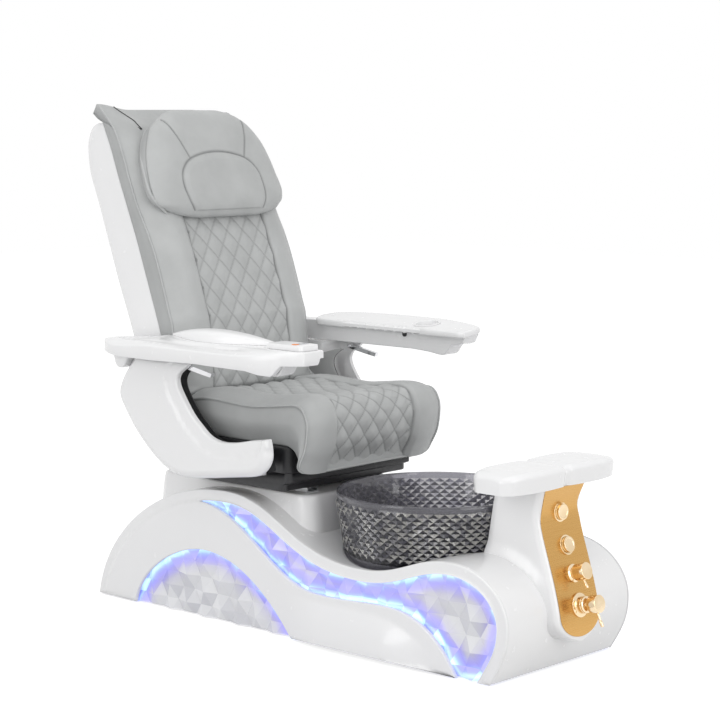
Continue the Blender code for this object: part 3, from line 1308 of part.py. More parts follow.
def shell_grid(wall, rows, columns):
    """Points of the shell's outside, or of its inside where wall is above zero."""
    seam = spread(back_seam(), rows)
    rear = spread(back_rear(), rows)
    if wall:
        rear = inset_line(rear, wall)
        direction = (Vector(seam[-1]) - Vector(seam[0])).normalized()
        trim = wall * 1.1
        seam = [(x + direction.x * trim * (1 - 2 * i / (rows - 1)), z + direction.y * trim * (1 - 2 * i / (rows - 1)))
                for i, (x, z) in enumerate(seam)]
        rear[0] = seam[0]
        rear[-1] = seam[-1]
    grid = []
    half = BACK_SHELL_HALF_WIDTH - wall
    for line, far in zip(seam, rear):
        row = []
        for column in range(columns):
            share = -math.cos(math.pi * column / (columns - 1))
            full = bulge(share)
            row.append((line[0] + (far[0] - line[0]) * full, half * share, line[1] + (far[1] - line[1]) * full))
        grid.append(row)
    return grid


def back_path():
    """Side view of the welded back frame, upwards from its hinge."""
    return [(BACK_AXIS_X + 0.0045, BACK_AXIS_Z - 0.0105), (-0.452, 0.565), (-0.492, 0.650), (-0.532, 0.760), (-0.600, 0.930),
            (-0.655, 1.070), (-0.712, 1.215)]


def make_back_shell():
    """Moulded rear shell, a 5 mm dish with slots below for the frame tubes."""
    shell = closed_grid("back_shell", shell_grid(BACK_SHELL_WALL, 19, 11), shell_grid(0.0, 19, 11), WHITE_GLOSS)
    for side in (-1, 1):
        path = [(x, side * BACK_TUBE_Y, z) for x, z in back_path()]
        combine(shell, tube(f"tube_slot_{side}", path, BACK_TUBE_RADIUS + CLEAR * 1.3, WHITE_GLOSS, 8))


def make_back_frame():
    """Two bent tubes joined by cross tubes, with hinge lugs at their feet and two massage rods."""
    path = back_path()
    frame = tube("back_frame", [(x, -BACK_TUBE_Y, z) for x, z in path], BACK_TUBE_RADIUS, DARK_STEEL, 8)
    combine(frame, tube("left_back_tube", [(x, BACK_TUBE_Y, z) for x, z in path], BACK_TUBE_RADIUS,
                        DARK_STEEL, 8), "UNION")
    for index, (x, z) in enumerate((rod_point(-0.030), rod_point(ROD_LENGTH + 0.030))):
        end = BACK_TUBE_Y - BACK_TUBE_RADIUS * 0.3
        bar = cylinder(f"back_cross_{index}", (x, -end, z), (x, end, z), BACK_TUBE_RADIUS * 0.77, DARK_STEEL, 10)
        combine(frame, bar, "UNION")
    for side in (-1, 1):
        low = rod_point(-0.0325)
        high = rod_point(ROD_LENGTH + 0.0325)
        rod = cylinder(f"massage_rod_{side}", (low[0], side * ROD_Y, low[1]), (high[0], side * ROD_Y, high[1]),
                       ROD_RADIUS, DARK_STEEL, 10)
        combine(frame, rod, "UNION")
        inner = side * (BACK_TUBE_Y + 0.006)
        outer = side * (BACK_TUBE_Y + BACK_TUBE_RADIUS + 0.007 - CLEAR)
        lug = cylinder(f"back_lug_{side}", (BACK_AXIS_X, inner, BACK_AXIS_Z), (BACK_AXIS_X, outer, BACK_AXIS_Z),
                       EAR_RADIUS - 0.002, DARK_STEEL, 16)
        combine(frame, lug, "UNION")
        hole = cylinder(f"lug_hole_{side}", (BACK_AXIS_X, side * (BACK_TUBE_Y - 0.003), BACK_AXIS_Z),
                        (BACK_AXIS_X, outer * 1.1, BACK_AXIS_Z), PIN_RADIUS + CLEAR, DARK_STEEL, 16)
        combine(frame, hole)


ROD_LENGTH = 0.430
ROD_FOOT_Z = 0.750


def rod_point(along):
    """Point (x, z) on the line of the massage rods, measured from their feet."""
    start = Vector((-0.480, ROD_FOOT_Z))
    direction = (Vector((-0.638, 1.158)) - start).normalized()
    back = Vector((-direction.y, direction.x))
    place = start + direction * along + back * ROD_DEPTH
    return place.x, place.y


def rod_frame():
    """Directions along the rods and forwards from them."""
    low = Vector(rod_point(0.0))
    along = (Vector(rod_point(1.0)) - low).normalized()
    return Vector((along.x, 0.0, along.y)), Vector((along.y, 0.0, -along.x))


def make_massage_unit():
    """Carriage that climbs the rods of the back frame, with a turning pair of rollers."""
    along, forward = rod_frame()
    x, z = rod_point(0.075)
    centre = Vector((x, 0.0, z))
    verts = []
    for a, f in ((-0.040, -0.014), (0.040, -0.014), (0.040, 0.012), (-0.040, 0.012)):
        for y in (-ROD_Y - 0.016, ROD_Y + 0.016):
            point = centre + along * a + forward * f
            verts.append((point.x, y, point.z))
    faces = [(0, 1, 3, 2), (2, 3, 5, 4), (4, 5, 7, 6), (6, 7, 1, 0), (0, 2, 4, 6), (1, 7, 5, 3)]
    carriage = body_from("massage_carriage", verts, faces, BLACK_PLASTIC, tuple(centre))
    shaft = centre + forward * 0.022
    for side in (-1, 1):
        bearing = cylinder(f"roller_bearing_{side}", (shaft.x, side * 0.058, shaft.z), (shaft.x, side * 0.070, shaft.z),
                           0.014, BLACK_PLASTIC, 12)
        combine(carriage, bearing, "UNION")
        bore = cylinder(f"rod_bore_{side}", centre - along * 0.06 + Vector((0, side * ROD_Y, 0)),
                        centre + along * 0.06 + Vector((0, side * ROD_Y, 0)), ROD_RADIUS + CLEAR * 2,
                        BLACK_PLASTIC, 10)
        combine(carriage, bore)
        hole = cylinder(f"shaft_bore_{side}", (shaft.x, side * 0.050, shaft.z), (shaft.x, side * 0.080, shaft.z),
                        0.005 + CLEAR * 2, BLACK_PLASTIC, 12)
        combine(carriage, hole)
    well = cylinder("roller_well", (shaft.x, -0.056, shaft.z), (shaft.x, 0.056, shaft.z), ROLLER_RADIUS + 0.003,
                    BLACK_PLASTIC, 20)
    combine(carriage, well)
    roller = turned("massage_rollers", [(0.0, -0.068), (0.005, -0.068), (0.005, -0.052), (ROLLER_RADIUS - 0.006, -0.052),
                                        (ROLLER_RADIUS, -0.046), (ROLLER_RADIUS, -0.028),
                                        (ROLLER_RADIUS - 0.006, -0.022), (0.012, -0.020), (0.012, 0.020),
                                        (ROLLER_RADIUS - 0.006, 0.022), (ROLLER_RADIUS, 0.028),
                                        (ROLLER_RADIUS, 0.046), (ROLLER_RADIUS - 0.006, 0.052), (0.005, 0.052),
                                        (0.005, 0.068), (0.0, 0.068)],
                    BLACK_PLASTIC, tuple(shaft), (0.0, 1.0, 0.0), 12)
    return roller


def back_face():
    """Side view of the back cushion's bolsters, upwards and over the top of the shell."""
    knots = [(-0.376, 0.611), (-0.388, 0.772), (-0.403, 0.824), (-0.446, 0.949), (-0.481, 1.034),
             (-0.534, 1.154), (-0.566, 1.204), (-0.600, 1.240), (-0.640, 1.284), (-0.672, 1.322),
             (-0.704, 1.345), (-0.738, 1.338)]
    return smooth_path(knots, 2)


BACK_ROWS = 23


def back_under():
    """Side view of the cushion's back: the shell's seam, then over the shell's top edge."""
    shift = CLEAR * 2
    seam = [(x + shift, z + shift * 0.4) for x, z in spread(back_seam(), BACK_ROWS - 3)]
    return seam + [(-0.699, 1.306), (-0.716, 1.309), (-0.736, 1.308)]


def make_back_cushion():
    """Back cushion with bolsters, a quilted middle and a flat place for the pillow."""
    face = spread(back_face(), BACK_ROWS)

    def height(row, y):
        z = face[row][1]
        pillow = smooth_step((z - 0.985) / 0.030)
        edge = QUILT_HALF_WIDTH + 0.016 + pillow * (PILLOW_HALF_WIDTH + 0.012 - QUILT_HALF_WIDTH - 0.016)
        inside = smooth_step((edge - abs(y)) / 0.026) if pillow < 0.5 else float(abs(y) < edge + 0.003)
        depth = QUILT_DEPTH + (PILLOW_RECESS * (1 - smooth_step((z - 1.315) / 0.020)) - QUILT_DEPTH) * pillow
        seam = QUILT_RISE * ((row + round((y + QUILT_HALF_WIDTH) / QUILT_CELL)) % 2)
        quilt = seam if abs(y) < QUILT_HALF_WIDTH - 0.001 and row > 0 and pillow < 0.01 else 0.0
        return -depth * inside - crown_drop(y, BACK_HALF_WIDTH) * (1 - inside) + quilt

    stations = pad_stations(BACK_HALF_WIDTH, QUILT_HALF_WIDTH, QUILT_CELLS)
    face_out = [(x, z) for x, z in face]
    padded_body("back_cushion", face_out, back_under(), BACK_HALF_WIDTH, lambda row, y: -height(row, y),
                GREY_LEATHER, stations, (BACK_AXIS_X, 0.0, BACK_AXIS_Z))


def make_head_pillow():
    """Thick headrest pillow strapped over the top of the back cushion."""
    face = spread(back_face(), BACK_ROWS)
    normals = side_normals(face)
    sunk = [(x + n[0] * (PILLOW_RECESS - 0.0006), z + n[1] * (PILLOW_RECESS - 0.0006))
            for (x, z), n in zip(face, normals)]
    under = [point for point, (x, z) in zip(sunk, face) if 1.018 < z < 1.300]
    front = [(-0.492, 1.010), (-0.472, 1.030), (-0.480, 1.100), (-0.497, 1.180), (-0.512, 1.250),
             (-0.531, 1.300), (-0.566, 1.332), (-0.606, 1.334)]
    path = spread(smooth_path(front, 2), len(under))

    def height(row, y):
        side = 0.030 * max((abs(y) / PILLOW_HALF_WIDTH - 0.45) / 0.55, 0.0) ** 2
        return side

    stations = [PILLOW_HALF_WIDTH * share for share in (-0.93, -0.72, -0.42, -0.14, 0.14, 0.42, 0.72, 0.93)]
    padded_body("head_pillow", path, under, PILLOW_HALF_WIDTH, height, GREY_LEATHER, stations,
                (BACK_AXIS_X, 0.0, BACK_AXIS_Z))


# ---------------------------------------------------------------- arms
def cover_outline():
    """Side view of the C-shaped arm cover, once round."""
    outer = [(-0.511, 0.668), (-0.540, 0.633), (-0.561, 0.596), (-0.558, 0.572), (-0.538, 0.545),
             (-0.510, 0.518), (-0.471, 0.474), (-0.432, 0.438), (-0.393, 0.413), (-0.354, 0.398),
             (-0.316, 0.392), (-0.240, 0.397), (-0.130, 0.413), (-0.027, 0.429), (-0.002, 0.439),
             (0.023, 0.477), (0.018, 0.527)]
    inner = [(-0.040, 0.516), (-0.091, 0.507), (-0.164, 0.497), (-0.201, 0.498), (-0.238, 0.507),
             (-0.262, 0.526), (-0.294, 0.566), (-0.313, 0.595), (-0.328, 0.620), (-0.331, 0.640),
             (-0.320, 0.656), (-0.293, 0.668)]
    return outer + inner


def shrink(outline, distance):
    """A closed outline moved inwards along its corner bisectors; it runs counter-clockwise."""
    count = len(outline)
    moved = []
    for index in range(count):
        before = Vector(outline[index - 1])
        here = Vector(outline[index])
        after = Vector(outline[(index + 1) % count])
        first = (here - before).normalized()
        second = (after - here).normalized()
        bisector = Vector((-first.y - second.y, first.x + second.x)).normalized()
        stretch = max(bisector.dot(Vector((-first.y, first.x))), 0.5)
        moved.append(tuple(here + bisector * distance / stretch))
    return moved


def make_arm_support(label, side):
    """C-shaped cover, open towards the seat, with its inner panel, steel upright and hinge pin."""
    outline = cover_outline()
    wall = ARM_COVER_WALL
    rings = []
    for inset, drop in ((0.0, None), (0.0, 0.007), (0.0020, 0.002), (0.0065, 0.0)):
        y = ARM_INNER_Y if drop is None else ARM_OUTER_Y - drop
        rings.append([(x, side * y, z) for x, z in shrink(outline, inset)])
    cover = loft(f"arm_cover_{label}", rings, WHITE_GLOSS)
    hollow = plate_xz(f"cover_hollow_{label}", shrink(outline, wall), side * (ARM_INNER_Y - 0.02),
                      side * (ARM_OUTER_Y - wall), WHITE_GLOSS)
    combine(cover, hollow)
    upright_far = ARM_INNER_Y + CLEAR + UPRIGHT_THICKNESS
    slot = box(f"ear_slot_{label}", (ARM_PIVOT_X + 0.010, min(side * (ARM_INNER_Y - 0.01), side * (upright_far + 0.001)),
                                     0.640),
               (ARM_PIVOT_X + 0.075, max(side * (ARM_INNER_Y - 0.01), side * (upright_far + 0.001)), 0.700),
               WHITE_GLOSS)
    combine(cover, slot)
    inner_face = side * (ARM_INNER_Y - CLEAR)
    panel = plate_xz(f"arm_panel_{label}", shrink(outline, -0.0045), side * (ARM_INNER_Y - CLEAR - PANEL_THICKNESS),
                     inner_face, BLACK_PLASTIC)
    trim = box(f"panel_trim_{label}", (ARM_PIVOT_X - 0.06, -0.4, 0.6675), (0.1, 0.4, 0.70), BLACK_PLASTIC)
    combine(panel, trim)
    ear = []
    for step in range(9):
        angle = math.radians(-40 + 230 * step / 8)
        ear.append((ARM_PIVOT_X + 0.014 * math.cos(angle), ARM_PIVOT_Z + 0.014 * math.sin(angle)))
    upright = ear + [(-0.512, 0.640), (-0.500, 0.590), (-0.450, 0.510), (-0.390, 0.450), (-0.340, 0.420),
                     (-0.120, 0.424), (-0.120, 0.450), (-0.250, 0.460), (-0.330, 0.500), (-0.400, 0.590),
                     (-0.465, 0.655)]
    steel = plate_xz(f"arm_upright_{label}", upright, side * (ARM_INNER_Y + CLEAR), side * upright_far, DARK_STEEL)
    pin = cylinder(f"arm_pin_{label}", (ARM_PIVOT_X, side * (ARM_INNER_Y + 0.002), ARM_PIVOT_Z),
                   (ARM_PIVOT_X, side * (ARM_INNER_Y + ARM_PIN_LENGTH), ARM_PIVOT_Z), PIN_RADIUS, DARK_STEEL, 16)
    combine(steel, pin, "UNION")


def beam_outline():
    """Side view of the hollow arm beam that lifts about its rear end."""
    outline = [(-0.588, ARM_TOP_Z), (-0.584, 0.706), (-0.562, 0.694)]
    for step in range(7):
        angle = math.radians(180 + 165 * step / 6)
        outline.append((ARM_PIVOT_X + 0.022 * math.cos(angle), ARM_PIVOT_Z + 0.022 * math.sin(angle)))
    outline += [(-0.500, BEAM_LOW_Z), (-0.060, BEAM_LOW_Z), (0.020, BEAM_LOW_Z - 0.006),
                (0.062, BEAM_LOW_Z - 0.008), (0.084, BEAM_LOW_Z), (0.094, BEAM_LOW_Z + 0.022),
                (0.120, BEAM_LOW_Z + 0.026), (0.126, ARM_TOP_Z)]
    return outline


def make_arm_beam(label, side):
    """Hollow beam with a hinge boss behind and two small ears for the latch lever."""
    outline = beam_outline()
    beam = plate_xz(f"arm_beam_{label}", outline, side * BEAM_INNER_Y, side * BEAM_OUTER_Y, WHITE_GLOSS)
    soften(beam, 0.003, 1, 50)
    wall = ARM_COVER_WALL
    inside = box(f"beam_inside_{label}", (-0.500, min(side * (BEAM_INNER_Y + wall), side * (BEAM_OUTER_Y - wall)),
                                          BEAM_LOW_Z + wall),
                 (0.080, max(side * (BEAM_INNER_Y + wall), side * (BEAM_OUTER_Y - wall)), ARM_TOP_Z + 0.01),
                 WHITE_GLOSS)
    combine(beam, inside)
    for index, y in enumerate((LATCH_Y - 0.0105, LATCH_Y + 0.0065)):
        lug = box(f"latch_ear_{label}_{index}", (LATCH_X - 0.008, min(side * y, side * (y + 0.004)), LATCH_Z - 0.007),
                  (LATCH_X + 0.008, max(side * y, side * (y + 0.004)), BEAM_LOW_Z + 0.002), WHITE_GLOSS)
        combine(beam, lug, "UNION")
    latch_hole = cylinder(f"latch_hole_{label}", (LATCH_X, side * (LATCH_Y - 0.02), LATCH_Z),
                          (LATCH_X, side * (LATCH_Y + 0.02), LATCH_Z), 0.0025 + CLEAR, WHITE_GLOSS, 10)
    combine(beam, latch_hole)
    hole = cylinder(f"beam_hole_{label}", (ARM_PIVOT_X, side * (BEAM_INNER_Y - 0.01), ARM_PIVOT_Z),
                    (ARM_PIVOT_X, side * (ARM_INNER_Y + ARM_PIN_LENGTH + 0.001), ARM_PIVOT_Z), PIN_RADIUS + CLEAR,
                    WHITE_GLOSS, 16)
    combine(beam, hole)


LATCH_Y = 0.311


def make_latch_lever(label, side):
    """Lever under the beam that frees the arm, with its own trunnion."""
    outline = [(LATCH_X - 0.006, LATCH_Z - 0.004), (LATCH_X + 0.004, LATCH_Z - 0.006),
               (LATCH_X + 0.060, LATCH_Z - 0.016), (LATCH_X + 0.098, LATCH_Z - 0.022),
               (LATCH_X + 0.102, LATCH_Z - 0.012), (LATCH_X + 0.060, LATCH_Z - 0.004),
               (LATCH_X + 0.006, LATCH_Z + 0.0055), (LATCH_X - 0.004, LATCH_Z + 0.0055)]
    lever = plate_xz(f"latch_lever_{label}", outline, side * (LATCH_Y - 0.006), side * (LATCH_Y + 0.006), CHROME,
                     (LATCH_X, side * LATCH_Y, LATCH_Z))
    trunnion = cylinder(f"latch_pin_{label}", (LATCH_X, side * (LATCH_Y - 0.0120), LATCH_Z),
                        (LATCH_X, side * (LATCH_Y + 0.0120), LATCH_Z), 0.0025, CHROME, 10)
    combine(lever, trunnion, "UNION")


def tray_outline(side):
    """Plan of a tray: straight inside, rounded ends and a bellied outside."""
    inner = TRAY_INNER_Y
    outer = TRAY_OUTER_Y
    rear = TRAY_REAR_X
    front = TRAY_FRONT_X
    knots = [(rear + 0.014, inner + 0.014), (rear + 0.080, inner + 0.003), (front - 0.080, inner),
             (front - 0.020, inner + 0.006), (front, inner + 0.026), (front, inner + 0.070),
             (front - 0.025, outer - 0.022), (front - 0.120, outer - 0.006), (rear + 0.330, outer),
             (rear + 0.120, outer - 0.014), (rear + 0.018, outer - 0.044), (rear, inner + 0.052),
             (rear, inner + 0.036)]
    plan = smooth_path(knots + knots[:1], 2)[:-1]
    return [(x, side * y) for x, y in plan]


def make_tray_right():
    """Right tray: a flat moulding with a shallow dish along its outer edge."""
    low = ARM_TOP_Z + CLEAR
    tray = slab_z("arm_tray_right", tray_outline(-1), low, low + TRAY_THICKNESS, WHITE_GLOSS)
    soften(tray, 0.004, 1, 50)
    knots = [(TRAY_REAR_X + 0.030, 0.310), (TRAY_REAR_X + 0.060, 0.285), (TRAY_REAR_X + 0.180, 0.284),
             (TRAY_REAR_X + 0.300, 0.345), (TRAY_REAR_X + 0.560, 0.357), (TRAY_REAR_X + 0.560, 0.368),
             (TRAY_REAR_X + 0.330, 0.376), (TRAY_REAR_X + 0.110, 0.360)]
    dish = slab_z("tray_dish", [(x, -y) for x, y in smooth_path(knots + knots[:1], 2)[:-1]],
                  low + TRAY_THICKNESS - 0.006, low + TRAY_THICKNESS + 0.02, WHITE_GLOSS)
    combine(tray, dish)


def make_tray_left():
    """Left tray: thicker outwards, with a round hole that holds a cup."""
    low = ARM_TOP_Z + CLEAR
    plan = tray_outline(1)
    top = [(x, y, low + TRAY_THICKNESS + (y - TRAY_INNER_Y) * math.tan(math.radians(5))) for x, y in plan]
    tray = loft("arm_tray_left", [[(x, y, low) for x, y in plan], top], WHITE_GLOSS)
    soften(tray, 0.004, 1, 50)
    combine(tray, cylinder("cup_hole", (CUP_X, CUP_Y, low - 0.02), (CUP_X, CUP_Y, low + 0.08), CUP_RADIUS,
                           WHITE_GLOSS, 24))


CUP_X = -0.030
CUP_Y = 0.316


def make_cup_holder():
    """Open cup liner that hangs in the left tray by its rim."""
    low = ARM_TOP_Z + CLEAR
    rim = low + TRAY_THICKNESS + (CUP_Y + CUP_RADIUS + 0.006 - TRAY_INNER_Y) * math.tan(math.radians(5)) + CLEAR
    outer = CUP_RADIUS - CLEAR * 2
    foot = BEAM_LOW_Z + ARM_COVER_WALL + 0.004
    profile = [(0.0, foot), (0.019, foot), (0.0215, foot + 0.002), (0.0215, low + 0.001), (outer, low + 0.005),
               (outer, rim), (outer + 0.004, rim), (outer + 0.003, rim + 0.002), (outer - 0.003, rim + 0.002),
               (outer - 0.003, low + 0.007), (0.0195, low + 0.003), (0.0195, foot + 0.003), (0.0, foot + 0.003)]
    turned("cup_liner", profile, WHITE_SATIN, (CUP_X, CUP_Y, 0.0), sides=18)


def make_arm_pad():
    """Crowned pad on the right tray."""
    low = ARM_TOP_Z + CLEAR + TRAY_THICKNESS + CLEAR
    rear = -0.345
    front = -0.005
    inner = TRAY_INNER_Y + 0.008
    columns = 12
    rows = 5
    top = []
    foot = []
    for row in range(rows + 1):
        across = row / rows
        top_row = []
        foot_row = []
        for column in range(columns + 1):
            along = column / columns
            x = rear + (front - rear) * along
            belly = 4 * along * (1 - along)
            width = 0.014 + 0.062 * belly ** 0.6
            y = inner + width * across
            crown = (0.004 + 0.026 * belly ** 0.8) * (1 - (2 * across - 1) ** 4 * 0.75)
            top_row.append((x, -y, low + crown))
            foot_row.append((x, -y, low))
        top.append(top_row)
        foot.append(foot_row)
    closed_grid("arm_pad_right", top, foot, WHITE_SATIN)


REMOTE_REAR_X = 0.012
REMOTE_FRONT_X = 0.132
REMOTE_INNER_Y = 0.272
REMOTE_WIDTH = 0.066
REMOTE_HEIGHT = 0.014
KEY_PITCH = 0.017


def make_remote():
    """Control panel on the right tray: housing, screen and three sprung keys."""
    low = ARM_TOP_Z + CLEAR + TRAY_THICKNESS + CLEAR
    top = low + REMOTE_HEIGHT
    middle = -(REMOTE_INNER_Y + REMOTE_WIDTH / 2)
    centre = ((REMOTE_REAR_X + REMOTE_FRONT_X) / 2, middle)
    half = (REMOTE_FRONT_X - REMOTE_REAR_X) / 2
    housing = slab_z("remote_housing", rounded_rectangle(half, REMOTE_WIDTH / 2, 0.010, 4, centre), low, top,
                     WHITE_SATIN)
    soften(housing, 0.002, 1, 50)
    screen_low = (REMOTE_REAR_X + 0.014, middle - 0.022)
    screen_high = (REMOTE_REAR_X + 0.062, middle + 0.022)
    depth = 0.0020
    pocket = box("screen_pocket", (screen_low[0] - CLEAR, screen_low[1] - CLEAR, top - depth - CLEAR),
                 (screen_high[0] + CLEAR, screen_high[1] + CLEAR, top + 0.01), WHITE_SATIN)
    combine(housing, pocket)
    box("remote_screen", (*screen_low, top - depth), (*screen_high, top - 0.0004), SCREEN)
    for index, look in enumerate((ORANGE_KEY, GREY_KEY, GREY_KEY)):
        y = middle + (index - 1) * KEY_PITCH
        x = REMOTE_REAR_X + 0.086
        well = box(f"key_well_{index}", (x - 0.0075, y - 0.0065, top - 0.006), (x + 0.0075, y + 0.0065, top + 0.01),
                   WHITE_SATIN)
        combine(housing, well)
        box(f"remote_key_{index + 1}", (x - 0.007, y - 0.006, top - 0.0045), (x + 0.007, y + 0.006, top + 0.0015),
            look, (x, y, top))


# ---------------------------------------------------------------- the chair
make_base_frame()
make_base_shell()
for label, side in (("right", -1), ("left", 1)):
    make_side_cover(label, side)
    make_light(f"wave_light_{label}", light_strip_outline(LIGHT_LAP, SHELL_FLOOR_GAP), side)
    make_light(f"arch_light_{label}", arch_outline(LIGHT_LAP, SHELL_FLOOR_GAP), side)
make_seat_riser()
make_slide_rails()
make_bowl()
make_drain()
make_power_unit()
make_column()
make_spout()
make_control_plate()
make_button("light_button", UPPER_BUTTON_Z)
make_button("pump_button", LOWER_BUTTON_Z)
make_diverter()
make_mixer()
make_footrest()
make_slide_carriage()
make_seat_frame()
make_seat_skirt()
make_seat_board()
make_seat_cushion()
make_back_frame()
make_back_shell()
make_massage_unit()
make_back_cushion()
make_head_pillow()
for label, side in (("right", -1), ("left", 1)):
    make_arm_support(label, side)
    make_arm_beam(label, side)
    make_latch_lever(label, side)
make_tray_right()
make_tray_left()
make_cup_holder()
make_arm_pad()
make_remote()
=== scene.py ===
import math

import bmesh
import bpy
import numpy as np
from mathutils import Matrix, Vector
from mathutils.geometry import delaunay_2d_cdt


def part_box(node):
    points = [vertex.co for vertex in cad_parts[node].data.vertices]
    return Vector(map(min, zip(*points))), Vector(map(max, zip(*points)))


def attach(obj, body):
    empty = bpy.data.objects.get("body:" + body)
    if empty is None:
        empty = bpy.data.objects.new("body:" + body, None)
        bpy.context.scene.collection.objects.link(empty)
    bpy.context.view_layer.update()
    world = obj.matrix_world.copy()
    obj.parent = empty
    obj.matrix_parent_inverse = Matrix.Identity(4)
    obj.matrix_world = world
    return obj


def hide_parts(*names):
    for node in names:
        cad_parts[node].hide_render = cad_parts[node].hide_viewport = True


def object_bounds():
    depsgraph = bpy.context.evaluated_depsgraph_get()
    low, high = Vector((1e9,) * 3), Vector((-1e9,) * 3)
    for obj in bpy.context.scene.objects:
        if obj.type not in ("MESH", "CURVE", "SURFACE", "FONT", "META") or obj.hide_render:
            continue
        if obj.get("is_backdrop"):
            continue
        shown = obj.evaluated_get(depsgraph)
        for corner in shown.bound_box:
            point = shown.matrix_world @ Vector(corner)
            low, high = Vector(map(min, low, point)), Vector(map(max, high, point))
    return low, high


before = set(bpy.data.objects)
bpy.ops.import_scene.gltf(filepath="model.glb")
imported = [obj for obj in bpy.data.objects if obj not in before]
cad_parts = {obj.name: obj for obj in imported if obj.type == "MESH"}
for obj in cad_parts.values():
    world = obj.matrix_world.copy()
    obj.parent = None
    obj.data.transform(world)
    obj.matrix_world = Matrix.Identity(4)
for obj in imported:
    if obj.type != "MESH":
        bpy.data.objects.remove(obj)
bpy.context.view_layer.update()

# ---------------------------------------------------------------- the room and the camera
# A pale studio: one wide floor and a white surround, with a broad soft lamp overhead and two weak
# ones beside the camera. The camera stands low, to the chair's front right.
FOCAL, FRAME_HALF = 2080, 360       # pixels of the photograph
camera = bpy.data.cameras.new("camera")
camera.angle = 2 * math.atan(FRAME_HALF / FOCAL)
camera.clip_end = 100.0
viewer = bpy.data.objects.new("camera", camera)
bpy.context.scene.collection.objects.link(viewer)
bpy.context.scene.camera = viewer
down = math.radians(6.853)
heading = math.radians(47.2)
look_along = Vector((-math.cos(heading) * math.cos(down), math.sin(heading) * math.cos(down), -math.sin(down)))
viewer.location = (3.644, -3.919, 1.339)
viewer.rotation_euler = look_along.to_track_quat("-Z", "Y").to_euler()
bpy.context.scene.view_settings.view_transform = "Standard"


def seen_rays(tree):
    """1 for rays that start at the camera or come off gloss and glass, 0 for the light that fills a room."""
    path = tree.nodes.new("ShaderNodeLightPath")
    total = path.outputs["Is Camera Ray"]
    for name in ("Is Glossy Ray", "Is Transmission Ray"):
        larger = tree.nodes.new("ShaderNodeMath")
        larger.operation = "MAXIMUM"
        tree.links.new(total, larger.inputs[0])
        tree.links.new(path.outputs[name], larger.inputs[1])
        total = larger.outputs[0]
    return total


surround = bpy.data.worlds.new("surround")
bpy.context.scene.world = surround
surround.use_nodes = True
sky = surround.node_tree.nodes["Background"]
sky.inputs["Color"].default_value = (1.0, 1.0, 1.0, 1.0)
level = surround.node_tree.nodes.new("ShaderNodeMapRange")
level.inputs["To Min"].default_value = 0.70
level.inputs["To Max"].default_value = 1.0
surround.node_tree.links.new(seen_rays(surround.node_tree), level.inputs["Value"])
surround.node_tree.links.new(level.outputs["Result"], sky.inputs["Strength"])

floor_paint = bpy.data.materials.new("floor_paint")
floor_paint.use_nodes = True
tree = floor_paint.node_tree
tree.nodes.clear()
matt = tree.nodes.new("ShaderNodeBsdfDiffuse")
matt.inputs["Color"].default_value = (0.62, 0.62, 0.62, 1.0)
lift = tree.nodes.new("ShaderNodeEmission")
lift.inputs["Color"].default_value = (1.0, 1.0, 1.0, 1.0)
share = tree.nodes.new("ShaderNodeMapRange")
share.inputs["To Max"].default_value = 0.66
tree.links.new(seen_rays(tree), share.inputs["Value"])
tree.links.new(share.outputs["Result"], lift.inputs["Strength"])
both = tree.nodes.new("ShaderNodeAddShader")
tree.links.new(matt.outputs[0], both.inputs[0])
tree.links.new(lift.outputs[0], both.inputs[1])
out = tree.nodes.new("ShaderNodeOutputMaterial")
tree.links.new(both.outputs[0], out.inputs["Surface"])
floor_mesh = bpy.data.meshes.new("floor")
corners = ((-12, -12), (12, -12), (12, 12), (-12, 12))
floor_mesh.from_pydata([(x, y, -0.0005) for x, y in corners], [], [(0, 1, 2, 3)])
floor_mesh.materials.append(floor_paint)
floor = bpy.data.objects.new("floor", floor_mesh)
bpy.context.scene.collection.objects.link(floor)
floor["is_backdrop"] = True

LAMPS = (("overhead", (0.6, -0.6, 3.4), 3.2, 20.0), ("side", (-0.6, -4.4, 1.8), 2.6, 50.0),
         ("front", (4.6, -0.6, 1.6), 2.6, 54.0))
for name, place, size, energy in LAMPS:
    lamp = bpy.data.lights.new(name, "AREA")
    lamp.size = size
    lamp.energy = energy
    holder = bpy.data.objects.new(name, lamp)
    bpy.context.scene.collection.objects.link(holder)
    holder.location = place
    holder.rotation_euler = (Vector((0.0, 0.0, 0.5)) - Vector(place)).to_track_quat("-Z", "Y").to_euler()


# ---------------------------------------------------------------- base shell
# The moulded top of the base: one 5 mm skin of gloss-white acrylic that follows the wave from the
# rear foot over two crests to the nose, with a round pocket sunk in its valley for the bowl.
def finish(name, colour, rough, metal=0.0):
    """A material with its Principled shader and the object coordinates that its patterns read."""
    made = bpy.data.materials.new(name)
    made.use_nodes = True
    shader = made.node_tree.nodes["Principled BSDF"]
    shader.inputs["Base Color"].default_value = (*colour, 1.0)
    shader.inputs["Roughness"].default_value = rough
    shader.inputs["Metallic"].default_value = metal
    place = made.node_tree.nodes.new("ShaderNodeTexCoord")
    return made, shader, place.outputs["Object"]


def noise(made, where, scale, detail=2.0, stretch=(1.0, 1.0, 1.0)):
    """Cloudy noise from 0 to 1 with about scale clouds to a metre, stretched along the axes."""
    turn = made.node_tree.nodes.new("ShaderNodeMapping")
    turn.inputs["Scale"].default_value = stretch
    cloud = made.node_tree.nodes.new("ShaderNodeTexNoise")
    cloud.inputs["Scale"].default_value = scale
    cloud.inputs["Detail"].default_value = detail
    made.node_tree.links.new(where, turn.inputs["Vector"])
    made.node_tree.links.new(turn.outputs["Vector"], cloud.inputs["Vector"])
    return cloud.outputs["Fac"]


